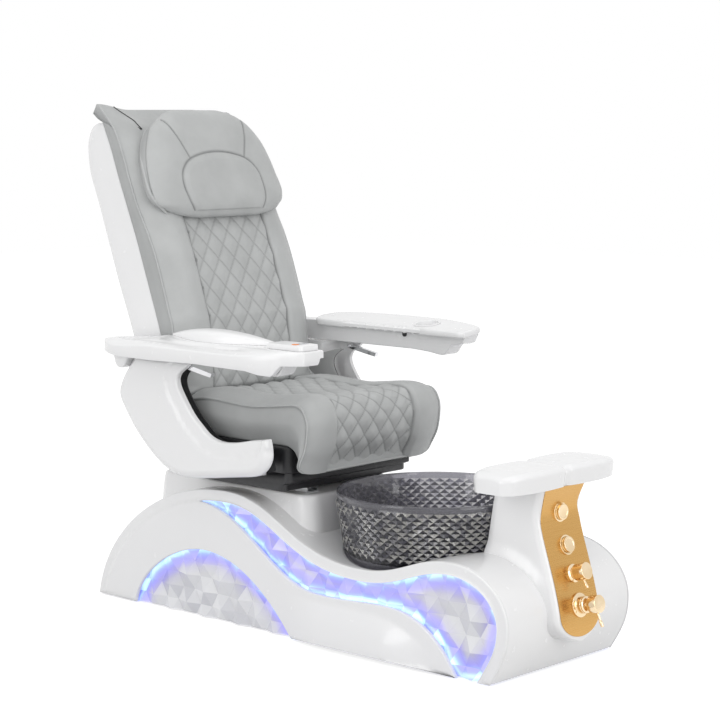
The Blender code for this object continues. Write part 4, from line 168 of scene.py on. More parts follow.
def vary(made, value, socket, low, high, start=0.3, end=0.7):
    """Drives a shader socket from low to high as a pattern goes from start to end."""
    ranged = made.node_tree.nodes.new("ShaderNodeMapRange")
    ranged.inputs["From Min"].default_value = start
    ranged.inputs["From Max"].default_value = end
    ranged.inputs["To Min"].default_value = low
    ranged.inputs["To Max"].default_value = high
    made.node_tree.links.new(value, ranged.inputs["Value"])
    made.node_tree.links.new(ranged.outputs["Result"], socket)


def tint(made, value, socket, first, second, start=0.3, end=0.7, stops=()):
    """Drives a colour socket from the first colour to the second as a pattern goes from start to end, by way of
    the stops between them."""
    ramp = made.node_tree.nodes.new("ShaderNodeValToRGB")
    ends = ramp.color_ramp.elements
    for number, position, colour in ((0, start, first), (1, end, second)):
        ends[number].position = position
        ends[number].color = (*colour, 1.0)
    for position, colour in stops:
        ends.new(position).color = (*colour, 1.0)
    made.node_tree.links.new(value, ramp.inputs["Fac"])
    made.node_tree.links.new(ramp.outputs["Color"], socket)


def relief(made, value, depth, strength=1.0, under=None):
    """Bumps the surface by depth metres with a pattern, on top of another relief where one is given."""
    bump = made.node_tree.nodes.new("ShaderNodeBump")
    bump.inputs["Distance"].default_value = depth
    bump.inputs["Strength"].default_value = strength
    made.node_tree.links.new(value, bump.inputs["Height"])
    if under:
        made.node_tree.links.new(under, bump.inputs["Normal"])
    made.node_tree.links.new(bump.outputs["Normal"], made.node_tree.nodes["Principled BSDF"].inputs["Normal"])
    return bump.outputs["Normal"]


def gloss_moulding(name, colour, rough):
    """Moulded acrylic: a clear coat over white with the faint ripple and haze of a polished mould."""
    made, shader, where = finish(name, colour, rough)
    shader.inputs["Coat Weight"].default_value = 0.28
    shader.inputs["Coat Roughness"].default_value = 0.06
    shade = tuple(c * 0.985 for c in colour)
    tint(made, noise(made, where, 3.0, 3.0), shader.inputs["Base Color"], shade, colour)
    vary(made, noise(made, where, 40.0, 4.0), shader.inputs["Roughness"], rough * 0.85, rough * 1.25)
    ripple = relief(made, noise(made, where, 55.0, 1.0), 0.00006)
    relief(made, noise(made, where, 900.0, 1.0), 0.00001, 0.6, ripple)
    return made


WHITE = gloss_moulding("gloss_white_acrylic", (0.84, 0.84, 0.845), 0.22)


def curve(start, lead, follow, end, steps):
    """Cubic Bezier curve without its last point: the corners weighted (1-t)^3, 3t(1-t)^2, 3t^2(1-t), t^3."""
    t = np.linspace(0.0, 1.0, steps, endpoint=False)[:, None]
    a, b, c, d = (np.asarray(corner, float) for corner in (start, lead, follow, end))
    return (1 - t) ** 3 * a + 3 * t * (1 - t) ** 2 * b + 3 * t * t * (1 - t) * c + t ** 3 * d


def through(knots, steps):
    """Catmull-Rom curve through all knots: each span is a Bezier whose leads are a sixth of the neighbours' gap."""
    k = np.asarray(knots, float)
    k = np.vstack([2 * k[0] - k[1], k, 2 * k[-1] - k[-2]])
    spans = [curve(k[i], k[i] + (k[i + 1] - k[i - 1]) / 6, k[i + 1] - (k[i + 2] - k[i]) / 6, k[i + 1], steps)
             for i in range(1, len(k) - 2)]
    return np.vstack(spans + [k[-2:-1]])


def round_through(knots, steps):
    """The same curve carried round a closed outline."""
    k = np.asarray(knots, float)
    last, here, after, next_one = (np.roll(k, shift, axis=0) for shift in (1, 0, -1, -2))
    return np.vstack([curve(b, b + (c - a) / 6, c - (d - b) / 6, c, steps)
                      for a, b, c, d in zip(last, here, after, next_one)])


def arc(centre, radius, start, end, count, whole=True):
    """Points of a circle, or of an ellipse where radius is a pair, from one angle to another in degrees."""
    t = np.radians(np.linspace(start, end, count, endpoint=whole))
    return np.asarray(centre) + np.multiply(radius, np.stack([np.cos(t), np.sin(t)], axis=1))


def run_along(path):
    """Distance of each point from the start of its path."""
    return np.concatenate([[0.0], np.cumsum(np.linalg.norm(np.diff(path, axis=0), axis=1))])


def evenly(path, count):
    """The path read again at even steps along its length."""
    run = run_along(path)
    wanted = np.linspace(0.0, run[-1], count)
    return np.stack([np.interp(wanted, run, path[:, axis]) for axis in range(path.shape[1])], axis=1)


def square_to(path):
    """Unit directions to the left of an open path in a plane."""
    along = np.gradient(path, axis=0)
    along /= np.linalg.norm(along, axis=1)[:, None]
    return np.stack([-along[:, 1], along[:, 0]], axis=1)


def drawn_in(outline, distance):
    """A closed outline moved inwards along the mean direction square to its two neighbours."""
    ahead = np.roll(outline, -1, axis=0) - np.roll(outline, 1, axis=0)
    ahead /= np.linalg.norm(ahead, axis=1)[:, None]
    x, y = outline[:, 0], outline[:, 1]
    turn = np.sign(np.sum(x * np.roll(y, -1) - np.roll(x, -1) * y))
    return outline + turn * distance * np.stack([-ahead[:, 1], ahead[:, 0]], axis=1)


def quads(rows, columns, around=False, start=0):
    """Four-sided faces between neighbouring points of a grid, numbered row by row; around closes each row."""
    r = np.arange(rows - 1)[:, None]
    c = np.arange(columns if around else columns - 1)[None, :]
    a = r * columns + c
    b = r * columns + (c + 1) % columns
    return (np.stack([a, b, b + columns, a + columns], axis=-1).reshape(-1, 4) + start).tolist()


def lofted(rings):
    """Points and faces of a closed body: rings of equal count, joined in turn, with a flat face at both ends."""
    rings = np.asarray(rings, float)
    rows, columns = rings.shape[:2]
    faces = quads(rows, columns, True)
    faces.append(list(range(columns))[::-1])
    faces.append(list(range((rows - 1) * columns, rows * columns)))
    return rings.reshape(-1, 3), faces


def upright(flat, y):
    """A side view (x, z) set at a distance y from the middle."""
    return np.column_stack([flat[:, 0], np.broadcast_to(y, len(flat)), flat[:, 1]])


def raised(line, rise, y, way=None):
    """A side view moved by rise square to itself and set at y."""
    way = square_to(line) if way is None else way
    return upright(line + way * np.asarray(rise)[..., None], y)


def round_off(gap, radius):
    """How far a face falls away at a distance from its edge, for an edge rounded to a quarter circle."""
    return radius - np.sqrt(np.maximum(radius ** 2 - np.maximum(radius - gap, 0.0) ** 2, 0.0))


def make(name, points, faces, look, rides, *stands_for, sharp=38.0, marks=None):
    """A piece from its points and faces: doubles merged, faces turned outwards, edges sharper than the angle
    kept crisp. It rides on its body and stands for the nodes named."""
    mesh = bpy.data.meshes.new(name)
    mesh.from_pydata(np.asarray(points).tolist(), [], faces)
    for mark, values in (marks or {}).items():
        mesh.attributes.new(mark, "FLOAT", "POINT").data.foreach_set("value", np.asarray(values, np.float32))
    work = bmesh.new()
    work.from_mesh(mesh)
    bmesh.ops.remove_doubles(work, verts=work.verts, dist=0.00002)
    bmesh.ops.recalc_face_normals(work, faces=work.faces)
    work.to_mesh(mesh)
    work.free()
    mesh.shade_smooth()
    mesh.set_sharp_from_angle(angle=math.radians(sharp))
    mesh.materials.append(look)
    piece = bpy.data.objects.new(name, mesh)
    bpy.context.scene.collection.objects.link(piece)
    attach(piece, rides)
    if stands_for:
        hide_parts(*stands_for)
    return piece


def turned(profile, centre, axis, sides):
    """Points and faces of a lathe form: a (radius, along) profile carried round an axis. Where the profile
    doesn't close on itself, a flat face ends it."""
    axis = Vector(axis).normalized()
    across = np.array(axis.orthogonal().normalized())
    axis = np.array(axis)
    a = np.linspace(0.0, 2 * math.pi, sides, endpoint=False)
    ring = np.cos(a)[:, None] * across + np.sin(a)[:, None] * np.cross(axis, across)
    profile = np.asarray(profile, float)
    points = np.asarray(centre, float) + profile[:, 0, None, None] * ring + profile[:, 1, None, None] * axis
    if profile[[0, -1], 0].max() > 1e-6 and not np.allclose(profile[0], profile[-1]):
        return lofted(points)
    return points.reshape(-1, 3), quads(len(profile), sides, True)


HALF = 0.236            # half the base's width, to the shell's outside
SKIN = 0.005            # the acrylic's thickness
FLOOR_GAP = 0.003
UNDER = -0.030          # where outlines that are cut off at the floor run on to


def above(line, low):
    """The part of an open line over a level, with both its ends cut where it crosses."""
    keep = np.flatnonzero(line[:, 1] >= low)
    ends = []
    for a, b in ((keep[0] - 1, keep[0]), (keep[-1] + 1, keep[-1])):
        part = (low - line[a, 1]) / (line[b, 1] - line[a, 1])
        ends.append(line[a] + part * (line[b] - line[a]))
    return np.vstack([ends[0], line[keep], ends[1]])


def wave(inset, low):
    """Side view of the base, over both crests, moved inwards and cut off at a height: Bezier curves for the
    slopes and a quarter ellipse for the nose."""
    line = np.vstack([
        [(-0.754, UNDER)],
        curve((-0.753, 0.0), (-0.725, 0.191), (-0.4965, 0.354), (-0.240, 0.354), 60),
        curve((-0.240, 0.354), (-0.050, 0.354), (-0.012, 0.219), (0.235, 0.219), 64),
        curve((0.235, 0.219), (0.3673, 0.219), (0.4114, 0.278), (0.529, 0.278), 36),
        arc((0.529, 0.141), (0.173, 0.137), 90, 0, 48, False),
        curve((0.702, 0.141), (0.702, 0.080), (0.675, 0.045), (0.647, 0.0), 24), [(0.647, 0.0), (0.627, UNDER)]])
    return above(line - square_to(line) * inset, low)


def wave_height(x):
    """Height of the wave's top at x."""
    line = wave(0.0, 0.0)
    top = line[: np.argmax(line[:, 0])]
    return np.interp(x, top[:, 0], top[:, 1])


def reach(points, loops):
    """Distance of each point to the nearest side of the loops."""
    best = np.full(len(points), 9.0)
    for loop in loops:
        ab = np.roll(loop, -1, axis=0) - loop
        size = np.maximum((ab ** 2).sum(axis=1), 1e-12)
        for part in range(0, len(points), 2000):
            p = points[part:part + 2000, None, :]
            t = np.clip(((p - loop) * ab).sum(axis=2) / size, 0.0, 1.0)
            gap = np.linalg.norm(p - loop - t[..., None] * ab, axis=2).min(axis=1)
            best[part:part + 2000] = np.minimum(best[part:part + 2000], gap)
    return best


def to_line(points, *lines):
    """Distance of each point to the nearest of some open lines, each carried there and back."""
    return reach(points, [np.vstack([line, line[::-1]]) for line in lines])


def within(points, loops):
    """Whether a point lies inside the first loop and outside the others: it crosses an odd number of sides."""
    odd = np.zeros(len(points), bool)
    for loop in loops:
        a = loop
        b = np.roll(loop, -1, axis=0)
        for part in range(0, len(points), 2000):
            p = points[part:part + 2000, None, :]
            spans = (a[:, 1] > p[..., 1]) != (b[:, 1] > p[..., 1])
            run = np.where(spans, b[:, 1] - a[:, 1], 1.0)
            cross = (b[:, 0] - a[:, 0]) * (p[..., 1] - a[:, 1]) / run + a[:, 0]
            odd[part:part + 2000] ^= (spans & (p[..., 0] < cross)).sum(axis=1) % 2 == 1
    return odd


def panel(loops, spacing, rims=()):
    """A flat region as near-even triangles. Its points are the loops (the first is the edge, the rest are
    holes), copies of them moved inwards by the distances in rims, and a lattice of the given spacing;
    Delaunay's rule joins them. Gives points, triangles and each point's distance to the nearest loop."""
    low = loops[0].min(axis=0)
    high = loops[0].max(axis=0)
    u, v = np.meshgrid(np.arange(low[0], high[0], spacing), np.arange(low[1], high[1], spacing * 0.866))
    u[1::2] += spacing / 2
    lattice = np.stack([u.ravel(), v.ravel()], axis=1)
    inner = max(rims, default=0.0) + spacing * 0.6
    lattice = lattice[within(lattice, loops)]
    lattice = lattice[reach(lattice, loops) > inner]
    copies = []
    for distance in rims:
        for index, loop in enumerate(loops):
            copy = drawn_in(loop, distance if index == 0 else -distance)
            copy = copy[within(copy, loops)]
            if len(copy):
                copies.append(copy[reach(copy, loops) > distance * 0.9])
    points = np.vstack(list(loops) + copies + [lattice])
    sides = []
    start = 0
    for loop in loops:
        sides += [(start + i, start + (i + 1) % len(loop)) for i in range(len(loop))]
        start += len(loop)
    joined = delaunay_2d_cdt([Vector(p) for p in points], sides, [], 0, 0.00001)
    points = np.array([tuple(p) for p in joined[0]])
    triangles = np.array([f for f in joined[2] if len(f) == 3])
    triangles = triangles[within(points[triangles].mean(axis=1), loops)]
    return points, triangles, reach(points, loops)


def walled(front, back, triangles):
    """Points and faces of a closed body between two copies of a panel: both sheets, and a wall along each
    side that belongs to one triangle only."""
    count = len(front)
    sides = np.vstack([triangles[:, [0, 1]], triangles[:, [1, 2]], triangles[:, [2, 0]]])
    _, first, times = np.unique(np.sort(sides, axis=1), axis=0, return_index=True, return_counts=True)
    rim = sides[first[times == 1]]
    faces = triangles.tolist() + (triangles[:, ::-1] + count).tolist()
    faces += np.stack([rim[:, 1], rim[:, 0], rim[:, 0] + count, rim[:, 1] + count], axis=1).tolist()
    return np.vstack([front, back]), faces


BOWL_X = 0.279          # the bowl's axis
bowl_side = np.vstack([curve((0.168, 0.198), (0.2125, 0.198), (0.2252, 0.2214), (0.2316, 0.250), 16),
                       [(0.2316, 0.250), (0.2555, 0.392)]])
POCKET = 0.0075         # room round the bowl
POCKET_Z = 0.1977       # top of the pocket's floor


def bowl_radius(z):
    """Outer radius of the bowl at a height, along its side line."""
    return np.interp(z, bowl_side[:, 1], bowl_side[:, 0])


def about_bowl(radius, z, turn):
    """Points round the bowl's upright axis."""
    x = BOWL_X + radius * np.cos(turn)
    return np.stack([x, radius * np.sin(turn), np.broadcast_to(z, x.shape)], axis=-1)


over_wave = evenly(wave(0.0, FLOOR_GAP), 420)
run_of = run_along(over_wave)
a = np.linspace(0.0, 2 * math.pi, 160, endpoint=False)
rim_radius = np.full(160, 0.24)
for step in range(6):
    rim_radius = bowl_radius(wave_height(BOWL_X + rim_radius * np.cos(a))) + POCKET
pocket_x = BOWL_X + rim_radius * np.cos(a)
top_part = slice(0, int(np.argmax(over_wave[:, 0])))
pocket_run = np.interp(pocket_x, over_wave[top_part, 0], run_of[top_part])
edge_run = np.linspace(run_of[0], run_of[-1], 300)
edge_across = np.linspace(-HALF, HALF, 60)
near_edge = np.column_stack([edge_run, np.full(300, -HALF)])
front_end = np.column_stack([np.full(58, run_of[-1]), edge_across[1:-1]])
rear_end = np.column_stack([np.full(58, run_of[0]), edge_across[-2:0:-1]])
sheet_edge = np.vstack([near_edge, front_end, near_edge[::-1] * (1, -1), rear_end])
pocket_edge = np.column_stack([pocket_run, rim_radius * np.sin(a)])
flat, triangles, gap = panel([sheet_edge, pocket_edge], 0.011, (0.0012, 0.003, 0.006))
over, way = [np.stack([np.interp(flat[:, 0], run_of, line[:, i]) for i in (0, 1)], axis=1)
             for line in (over_wave, square_to(over_wave))]
points, faces = walled(raised(over, -round_off(gap, 0.003), flat[:, 1], way),
                       raised(over, -SKIN, flat[:, 1], way), triangles)
pocket_top = wave_height(pocket_x) - 0.003
pocket_z = pocket_top + (POCKET_Z - pocket_top) * np.linspace(0.0, 1.0, 14)[:, None]
inside = about_bowl(bowl_radius(pocket_z) + POCKET, pocket_z, a)
outside = about_bowl(bowl_radius(pocket_z) + POCKET + SKIN, pocket_z - SKIN, a)[::-1]
floor_rings = [about_bowl(radius, z, a)[None] for radius, z in
               ((0.12, POCKET_Z), (0.034, POCKET_Z), (0.034, POCKET_Z - SKIN), (0.12, POCKET_Z - SKIN))]
well = np.vstack([inside, *floor_rings, outside, inside[:1]])
faces = faces + quads(len(well), 160, True, len(points))
make("moulded_wave_top", np.vstack([points, well.reshape(-1, 3)]), faces, WHITE, "base", "base_shell")


# ---------------------------------------------------------------- side covers
# One moulding of the same acrylic down each side, screwed to the shell. Its face stands proud inside
# a sunk band that follows the wave, swells out low down in front, and is cut out for two lights.
SIDES = ((-1, "right"), (1, "left"))
COVER = 0.010           # how far the face stands out
BAND = 0.030            # width of the sunk band
SWELL = 0.026           # how far the lobe stands out
ON_SHELL = HALF + 0.0003
FACE = ON_SHELL + COVER
LIGHT_REAR = -0.336     # rear tip of the long light


def light_line(grow, low):
    """Outline of the long light: its upper edge keeps to the band, its lower edge waves down to the floor."""
    upper = wave(BAND - grow, low)
    upper = upper[upper[:, 0] >= LIGHT_REAR - grow]
    tip = np.array([LIGHT_REAR, upper[0, 1] - grow - 0.0012])
    lower = np.vstack([curve(tip, tip + (0.170, -0.002), (-0.070, 0.133), (0.100, 0.133), 40),
                       curve((0.100, 0.133), (0.180, 0.131), (0.242, 0.140), (0.322, 0.140), 22),
                       curve((0.322, 0.140), (0.442, 0.140), (0.507, 0.075), (0.552, 0.0), 34),
                       [(0.552, 0.0), (0.567, UNDER)]])
    lower = lower - square_to(lower) * grow
    kept = lower[lower[:, 1] >= low]
    last = lower[len(kept)]
    part = (low - last[1]) / (kept[-1, 1] - last[1])
    return np.vstack([kept, last + part * (kept[-1] - last), upper[::-1]])


def arch_line(grow, low):
    """Outline of the rear light, a half-round steeper behind than in front."""
    line = np.vstack([[(-0.595, UNDER)], curve((-0.595, 0.0), (-0.585, 0.090), (-0.440, 0.186), (-0.318, 0.186), 40),
                      curve((-0.318, 0.186), (-0.190, 0.186), (-0.075, 0.100), (0.003, 0.0), 44),
                      [(0.003, 0.0), (0.033, UNDER)]])
    return above(line + square_to(line) * grow, low)


def soft(value):
    """0 to 1 with soft ends: 3t^2 - 2t^3."""
    t = np.clip(value, 0.0, 1.0)
    return t * t * (3 - 2 * t)


def cover_face(x, z, gap, to_wave):
    """How far the cover's face stands out: rounded at every edge, sunk in the band, and swelling low in front,
    where the swell fades up over its ridge and forwards."""
    band = 0.0045 * (1 - soft((to_wave - BAND + 0.004) / 0.004))
    run = np.clip((x - 0.025) / 0.450, 0.0, 1.0)
    ridge = 0.112 * np.sqrt(np.maximum(1 - np.clip((run - 0.35) / 0.65, 0.0, 1.0) ** 3, 0.0)) + 0.004
    lift = np.clip(z / ridge, 0.0, 1.0)
    swell = SWELL * soft((x + 0.030) / 0.140) * soft((0.470 - x) / 0.150) * (1 - lift ** 2.6) ** 1.1
    return FACE - round_off(gap, 0.003) - band + swell * soft(gap / 0.012)


outline = wave(0.0, FLOOR_GAP)
strip = light_line(0.0, FLOOR_GAP)
arch = arch_line(0.0, FLOOR_GAP)
turn = int(np.flatnonzero(strip[:, 1] <= FLOOR_GAP + 1e-6)[0]) + 1
edge_loop = np.vstack([outline, strip[turn:], strip[:turn], arch[::-1]])
edge_loop = edge_loop[np.linalg.norm(edge_loop - np.roll(edge_loop, 1, axis=0), axis=1) > 0.00005]
flat, triangles, gap = panel([edge_loop], 0.0065, (0.0006, 0.0015, 0.003, 0.005))
to_wave = reach(flat, [np.vstack([outline, [(0.6, -0.5), (-0.7, -0.5)]])])
out_to = cover_face(flat[:, 0], flat[:, 1], gap, to_wave)
for side, label in SIDES:
    points, faces = walled(upright(flat, side * out_to), upright(flat, side * ON_SHELL), triangles)
    make(f"wave_cover_{label}", points, faces, WHITE, "base", f"side_cover_{label}", sharp=50)

# ---------------------------------------------------------------- lights in the side covers
# Clear acrylic panels cut into three-sided facets, lit from their edges by cool white and blue
# diodes: white at the rim, blue and violet further in, and plain grey where the light gives out.
LIT, shader, where = finish("edge_lit_acrylic", (0.80, 0.82, 0.84), 0.22)
shader.inputs["Coat Weight"].default_value = 0.6
shader.inputs["Coat Roughness"].default_value = 0.04
shader.inputs["Emission Strength"].default_value = 1.0


def marked(made, mark):
    """What a piece's own attribute says."""
    node = made.node_tree.nodes.new("ShaderNodeAttribute")
    node.attribute_name = mark
    return node.outputs["Fac"]


def mixed(made, mode, socket):
    """A node that mixes two colours and feeds a socket."""
    node = made.node_tree.nodes.new("ShaderNodeMix")
    node.data_type = "RGBA"
    node.blend_type = mode
    made.node_tree.links.new(node.outputs["Result"], socket)
    return node.inputs


def from_edge(share):
    """Distance from the lit edge, pushed further in by a share of each facet's own number."""
    node = LIT.node_tree.nodes.new("ShaderNodeMath")
    node.operation = "MULTIPLY_ADD"
    node.inputs[1].default_value = share
    LIT.node_tree.links.new(marked(LIT, "facet"), node.inputs[0])
    LIT.node_tree.links.new(marked(LIT, "from_rim"), node.inputs[2])
    return node.outputs[0]


shade = mixed(LIT, "MULTIPLY", shader.inputs["Base Color"])
shade["Factor"].default_value = 1.0
tint(LIT, from_edge(0.022), shade["A"], (0.74, 0.92, 1.0), (0.80, 0.805, 0.82), 0.0, 0.080,
     ((0.010, (0.46, 0.70, 1.0)), (0.026, (0.44, 0.42, 0.95)), (0.046, (0.60, 0.57, 0.93)),
      (0.060, (0.76, 0.75, 0.86))))
# Each facet is darkened at random by up to about a fifth: painted shade that stands for the facets' differing light.
tint(LIT, marked(LIT, "facet"), shade["B"], (0.78, 0.78, 0.81), (1.0, 1.0, 1.0), 0.10, 0.80)
tint(LIT, from_edge(0.010), shader.inputs["Emission Color"], (0.60, 0.82, 0.95), (0.0, 0.0, 0.0), 0.003, 0.052,
     ((0.009, (0.36, 0.55, 0.82)), (0.016, (0.13, 0.17, 0.46)), (0.030, (0.06, 0.05, 0.22))))
PITCH = 0.044           # side of a facet
RISE = 0.013            # height of a raised corner
SPLIT = 6               # small triangles along a facet's side
LAP = 0.016             # how far a light reaches behind its cover
LIGHT_BACK = HALF - 0.0003


def peak(column, row):
    """1 at the raised points of the lattice, one in three along a row and shifted from row to row."""
    return 1.0 if ((column + 3 * (row % 2)) // 2) % 3 == 0 else 0.0


def facet_triangles(low, high):
    """Corners (triangle, 3, 3) of a lattice of equal triangles over a side view: columns half a pitch apart,
    rows 0.866 pitch apart, with every third point of a row raised into a peak."""
    step_x = PITCH / 2
    step_z = PITCH * math.sqrt(3) / 2
    found = []
    for row in range(int((high[1] - low[1]) / step_z) + 2):
        for column in range(-2, int((high[0] - low[0]) / step_x) + 3):
            if (row + column) % 2:
                corners = [(column - 1, row + 1), (column + 1, row + 1), (column, row)]
            else:
                corners = [(column - 1, row), (column + 1, row), (column, row + 1)]
            found.append([(low[0] + c * step_x, low[1] + r * step_z, peak(c, r)) for c, r in corners])
    return np.array(found)


chance = np.random.default_rng(7)
i, j = np.meshgrid(np.arange(SPLIT + 1), np.arange(SPLIT + 1))
inside = i + j <= SPLIT
number = -np.ones(inside.shape, int)
number[inside] = np.arange(inside.sum())
small = [(number[r, c], number[r, c + 1], number[r + 1, c]) for r in range(SPLIT) for c in range(SPLIT - r)]
small += [(number[r, c + 1], number[r + 1, c + 1], number[r + 1, c])
          for r in range(SPLIT) for c in range(SPLIT - r - 1)]
i, j = i[inside][None, :, None] / SPLIT, j[inside][None, :, None] / SPLIT
count = inside.sum()
for name, light in (("wave_light", light_line), ("arch_light", arch_line)):
    opening, grown = light(0.0, FLOOR_GAP), light(LAP, FLOOR_GAP)
    corners = facet_triangles(grown.min(axis=0) - 0.01, grown.max(axis=0) + 0.01)
    points = (corners[:, None, 0] * (1 - i - j) + corners[:, None, 1] * i + corners[:, None, 2] * j).reshape(-1, 3)
    points[:, 1] = np.maximum(points[:, 1], FLOOR_GAP)
    triangles = (np.array(small)[None] + (np.arange(len(corners)) * count)[:, None, None]).reshape(-1, 3)
    facet_of = np.repeat(chance.random(len(corners)), count)
    middle = points[triangles].mean(axis=1)
    shown = within(middle[:, :2], [grown]) & (np.ptp(points[triangles][:, :, 1], axis=1) > 1e-6)
    used, triangles = np.unique(triangles[shown], return_inverse=True)
    triangles = triangles.reshape(-1, 3)
    points = points[used]
    from_rim = to_line(points[:, :2], opening[opening[:, 1] > FLOOR_GAP + 1e-5])
    marks = {"from_rim": from_rim, "facet": facet_of[used]}
    for side, label in SIDES:
        front = upright(points[:, :2], side * (LIGHT_BACK - RISE * (1 - points[:, 2])))
        back = upright(points[:, :2], side * (LIGHT_BACK - RISE - 0.005))
        solid, faces = walled(front, back, triangles)
        mesh = bpy.data.meshes.new(f"{name}_facets_{label}")
        mesh.from_pydata(solid.tolist(), [], faces)
        for mark, values in marks.items():
            values = np.tile(values, 2).astype(np.float32)
            mesh.attributes.new(mark, "FLOAT", "POINT").data.foreach_set("value", values)
        if side < 0:
            mesh.flip_normals()
        mesh.materials.append(LIT)
        piece = bpy.data.objects.new(mesh.name, mesh)
        bpy.context.scene.collection.objects.link(piece)
        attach(piece, "base")
        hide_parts(f"{name}_{label}")

# ---------------------------------------------------------------- seat riser
# Hollow white plinth that levels the rear of the wave for the seat slide. Its walls lean in as they
# rise and its foot is trimmed to the wave.


def plan_ring(rear, front, half, radius, z, steps=10, fill=1):
    """Rounded rectangle in plan at a height, its straight sides split into fill parts."""
    middles = ((front - radius, half - radius), (rear + radius, half - radius),
               (rear + radius, radius - half), (front - radius, radius - half))
    arcs = [arc(middle, radius, 90 * k, 90 * k + 90, steps) for k, middle in enumerate(middles)]
    t = np.linspace(0.0, 1.0, fill, endpoint=False)[1:, None]
    ring = np.vstack([np.vstack([here, here[-1] * (1 - t) + after[0] * t])
                      for here, after in zip(arcs, arcs[1:] + arcs[:1])])
    return np.column_stack([ring, np.full(len(ring), z)])


RISER_REAR, RISER_HALF = -0.565, 0.180
RISER_LEVELS = ((0.200, 0.016), (0.260, 0.0125), (0.310, 0.0085), (0.340, 0.0048), (0.353, 0.0022), (0.358, 0.0008),
                (0.3605, -0.0012), (0.3617, -0.0035), (0.362, -0.006))
rings = np.array([plan_ring(RISER_REAR - flare, flare * 1.6, RISER_HALF + flare * 0.4, 0.045, z, 14, 24)
                  for z, flare in RISER_LEVELS])
ground = wave_height(rings[:, :, 0]) - 0.004
rings[:, :, 2] = np.maximum(rings[:, :, 2], np.minimum(ground, 0.3560))
make("riser_moulding", *lofted(rings), WHITE, "base", "seat_riser", sharp=50)

# ---------------------------------------------------------------- foot bowl
# Thick pressed crystal, smoked grey: straight flared wall cut outside into rows of diamonds under a
# plain rim, smooth inside. The diamonds' colour is painted light: bright painted glints on facets that face up
# and to the camera's right, painted shade near black on the rest.
GLASS, shader, where = finish("smoked_crystal_glass", (0.40, 0.40, 0.42), 0.03)
shader.inputs["Transmission Weight"].default_value = 0.78
shader.inputs["IOR"].default_value = 1.52
# Each face's own value sets the colour: painted glints and painted shade on the cut facets, a plain smoky grey on the
# smooth faces.
tint(GLASS, marked(GLASS, "painted_glint_and_shade"), shader.inputs["Base Color"], (0.004, 0.004, 0.007), (1.0, 0.98, 0.90), 0.22, 0.94,
     ((0.50, (0.014, 0.014, 0.026)), (0.63, (0.09, 0.09, 0.13)), (0.78, (0.55, 0.54, 0.57))))
relief(GLASS, noise(GLASS, where, 60.0, 2.0), 0.00015)
ROUND = 60              # diamonds round the bowl
ROWS = 7
RIM_Z = 0.392
RIM_BAND = 0.017        # plain band under the rim
KNEE_Z = 0.236          # foot of the lowest row
FOOT_Z = 0.198
CUT = 0.0045            # how far the diamonds' tips stand out
columns = ROUND * 2
a = np.linspace(0.0, 2 * math.pi, columns, endpoint=False)
levels = np.linspace(KNEE_Z, RIM_Z - RIM_BAND, ROWS * 2 + 1)
rings = [(bowl_radius(z), z, 0.0) for z in np.linspace(FOOT_Z, KNEE_Z, 7)[:-1]]
rings += [(bowl_radius(z), z, CUT if 0 < row < ROWS * 2 else 0.0) for row, z in enumerate(levels)]
rim_line = ((0.0145, 0.0012), (0.0105, 0.0010), (0.006, 0.0010), (0.002, 0.0022), (0.0, 0.0048), (0.0, 0.0070),
            (0.003, 0.0092))
rings += [(bowl_radius(RIM_Z - drop) - back, RIM_Z - drop, 0.0) for drop, back in rim_line]
rings += [(bowl_radius(z) - 0.0095, z, 0.0) for z in np.linspace(RIM_Z - 0.010, 0.250, 8)]
rings += [(bowl_radius(z) - back, z, 0.0) for z, back in ((0.232, 0.011), (0.219, 0.016), (0.211, 0.024))]
rings += [(0.15, 0.2072, 0.0), (0.022, 0.2070, 0.0), (0.022, FOOT_Z, 0.0)]
grid = np.array([about_bowl(radius + rise * ((number + np.arange(columns)) % 2), z, a)
                 for number, (radius, z, rise) in enumerate(rings)])
faces = []
for ring in range(len(rings)):
    after = (ring + 1) % len(rings)
    here = ring * columns + np.arange(columns)
    following = ring * columns + (np.arange(columns) + 1) % columns
    over, over_next = here + (after - ring) * columns, following + (after - ring) * columns
    if rings[ring][2] or rings[after][2]:
        for c in range(columns):
            low, low_next, high, high_next = here[c], following[c], over[c], over_next[c]
            if (ring + c) % 2 == 0:
                faces += [(low, low_next, high), (low_next, high_next, high)]
            else:
                faces += [(low, low_next, high_next), (low, high_next, high)]
    else:
        faces += np.stack([here, following, over_next, over], axis=1).tolist()
bowl = make("crystal_bowl", grid.reshape(-1, 3), faces, GLASS, "base", "foot_bowl", sharp=12)
face_count = len(bowl.data.polygons)
middle, facing = np.zeros((2, face_count * 3))
bowl.data.polygons.foreach_get("center", middle)
bowl.data.polygons.foreach_get("normal", facing)
middle, facing = middle.reshape(-1, 3) - (BOWL_X, 0.0, 0.0), facing.reshape(-1, 3)
outwards = (facing[:, :2] * middle[:, :2]).sum(axis=1) > 0.05
cut = outwards & (middle[:, 2] > KNEE_Z - 0.002) & (middle[:, 2] < RIM_Z - RIM_BAND + 0.001)
# Painted light on the cut diamonds: facets that face up, and those towards the camera's right, get a bright painted
# glint, and the rest fall to painted shade near black. A random share varies each facet. The smooth faces keep 0.70, a
# plain smoky grey.
painted_light_level = 0.45 + 0.95 * (facing[:, 2] + 0.17) + 0.46 * (np.random.default_rng(11).random(face_count) - 0.5)
painted_light_level += 0.38 * (0.734 * middle[:, 0] + 0.679 * middle[:, 1])
painted_glint_and_shade = np.where(cut, np.clip(painted_light_level, 0.0, 1.0), 0.70).astype(np.float32)
bowl.data.attributes.new("painted_glint_and_shade", "FLOAT", "FACE").data.foreach_set("value", painted_glint_and_shade)

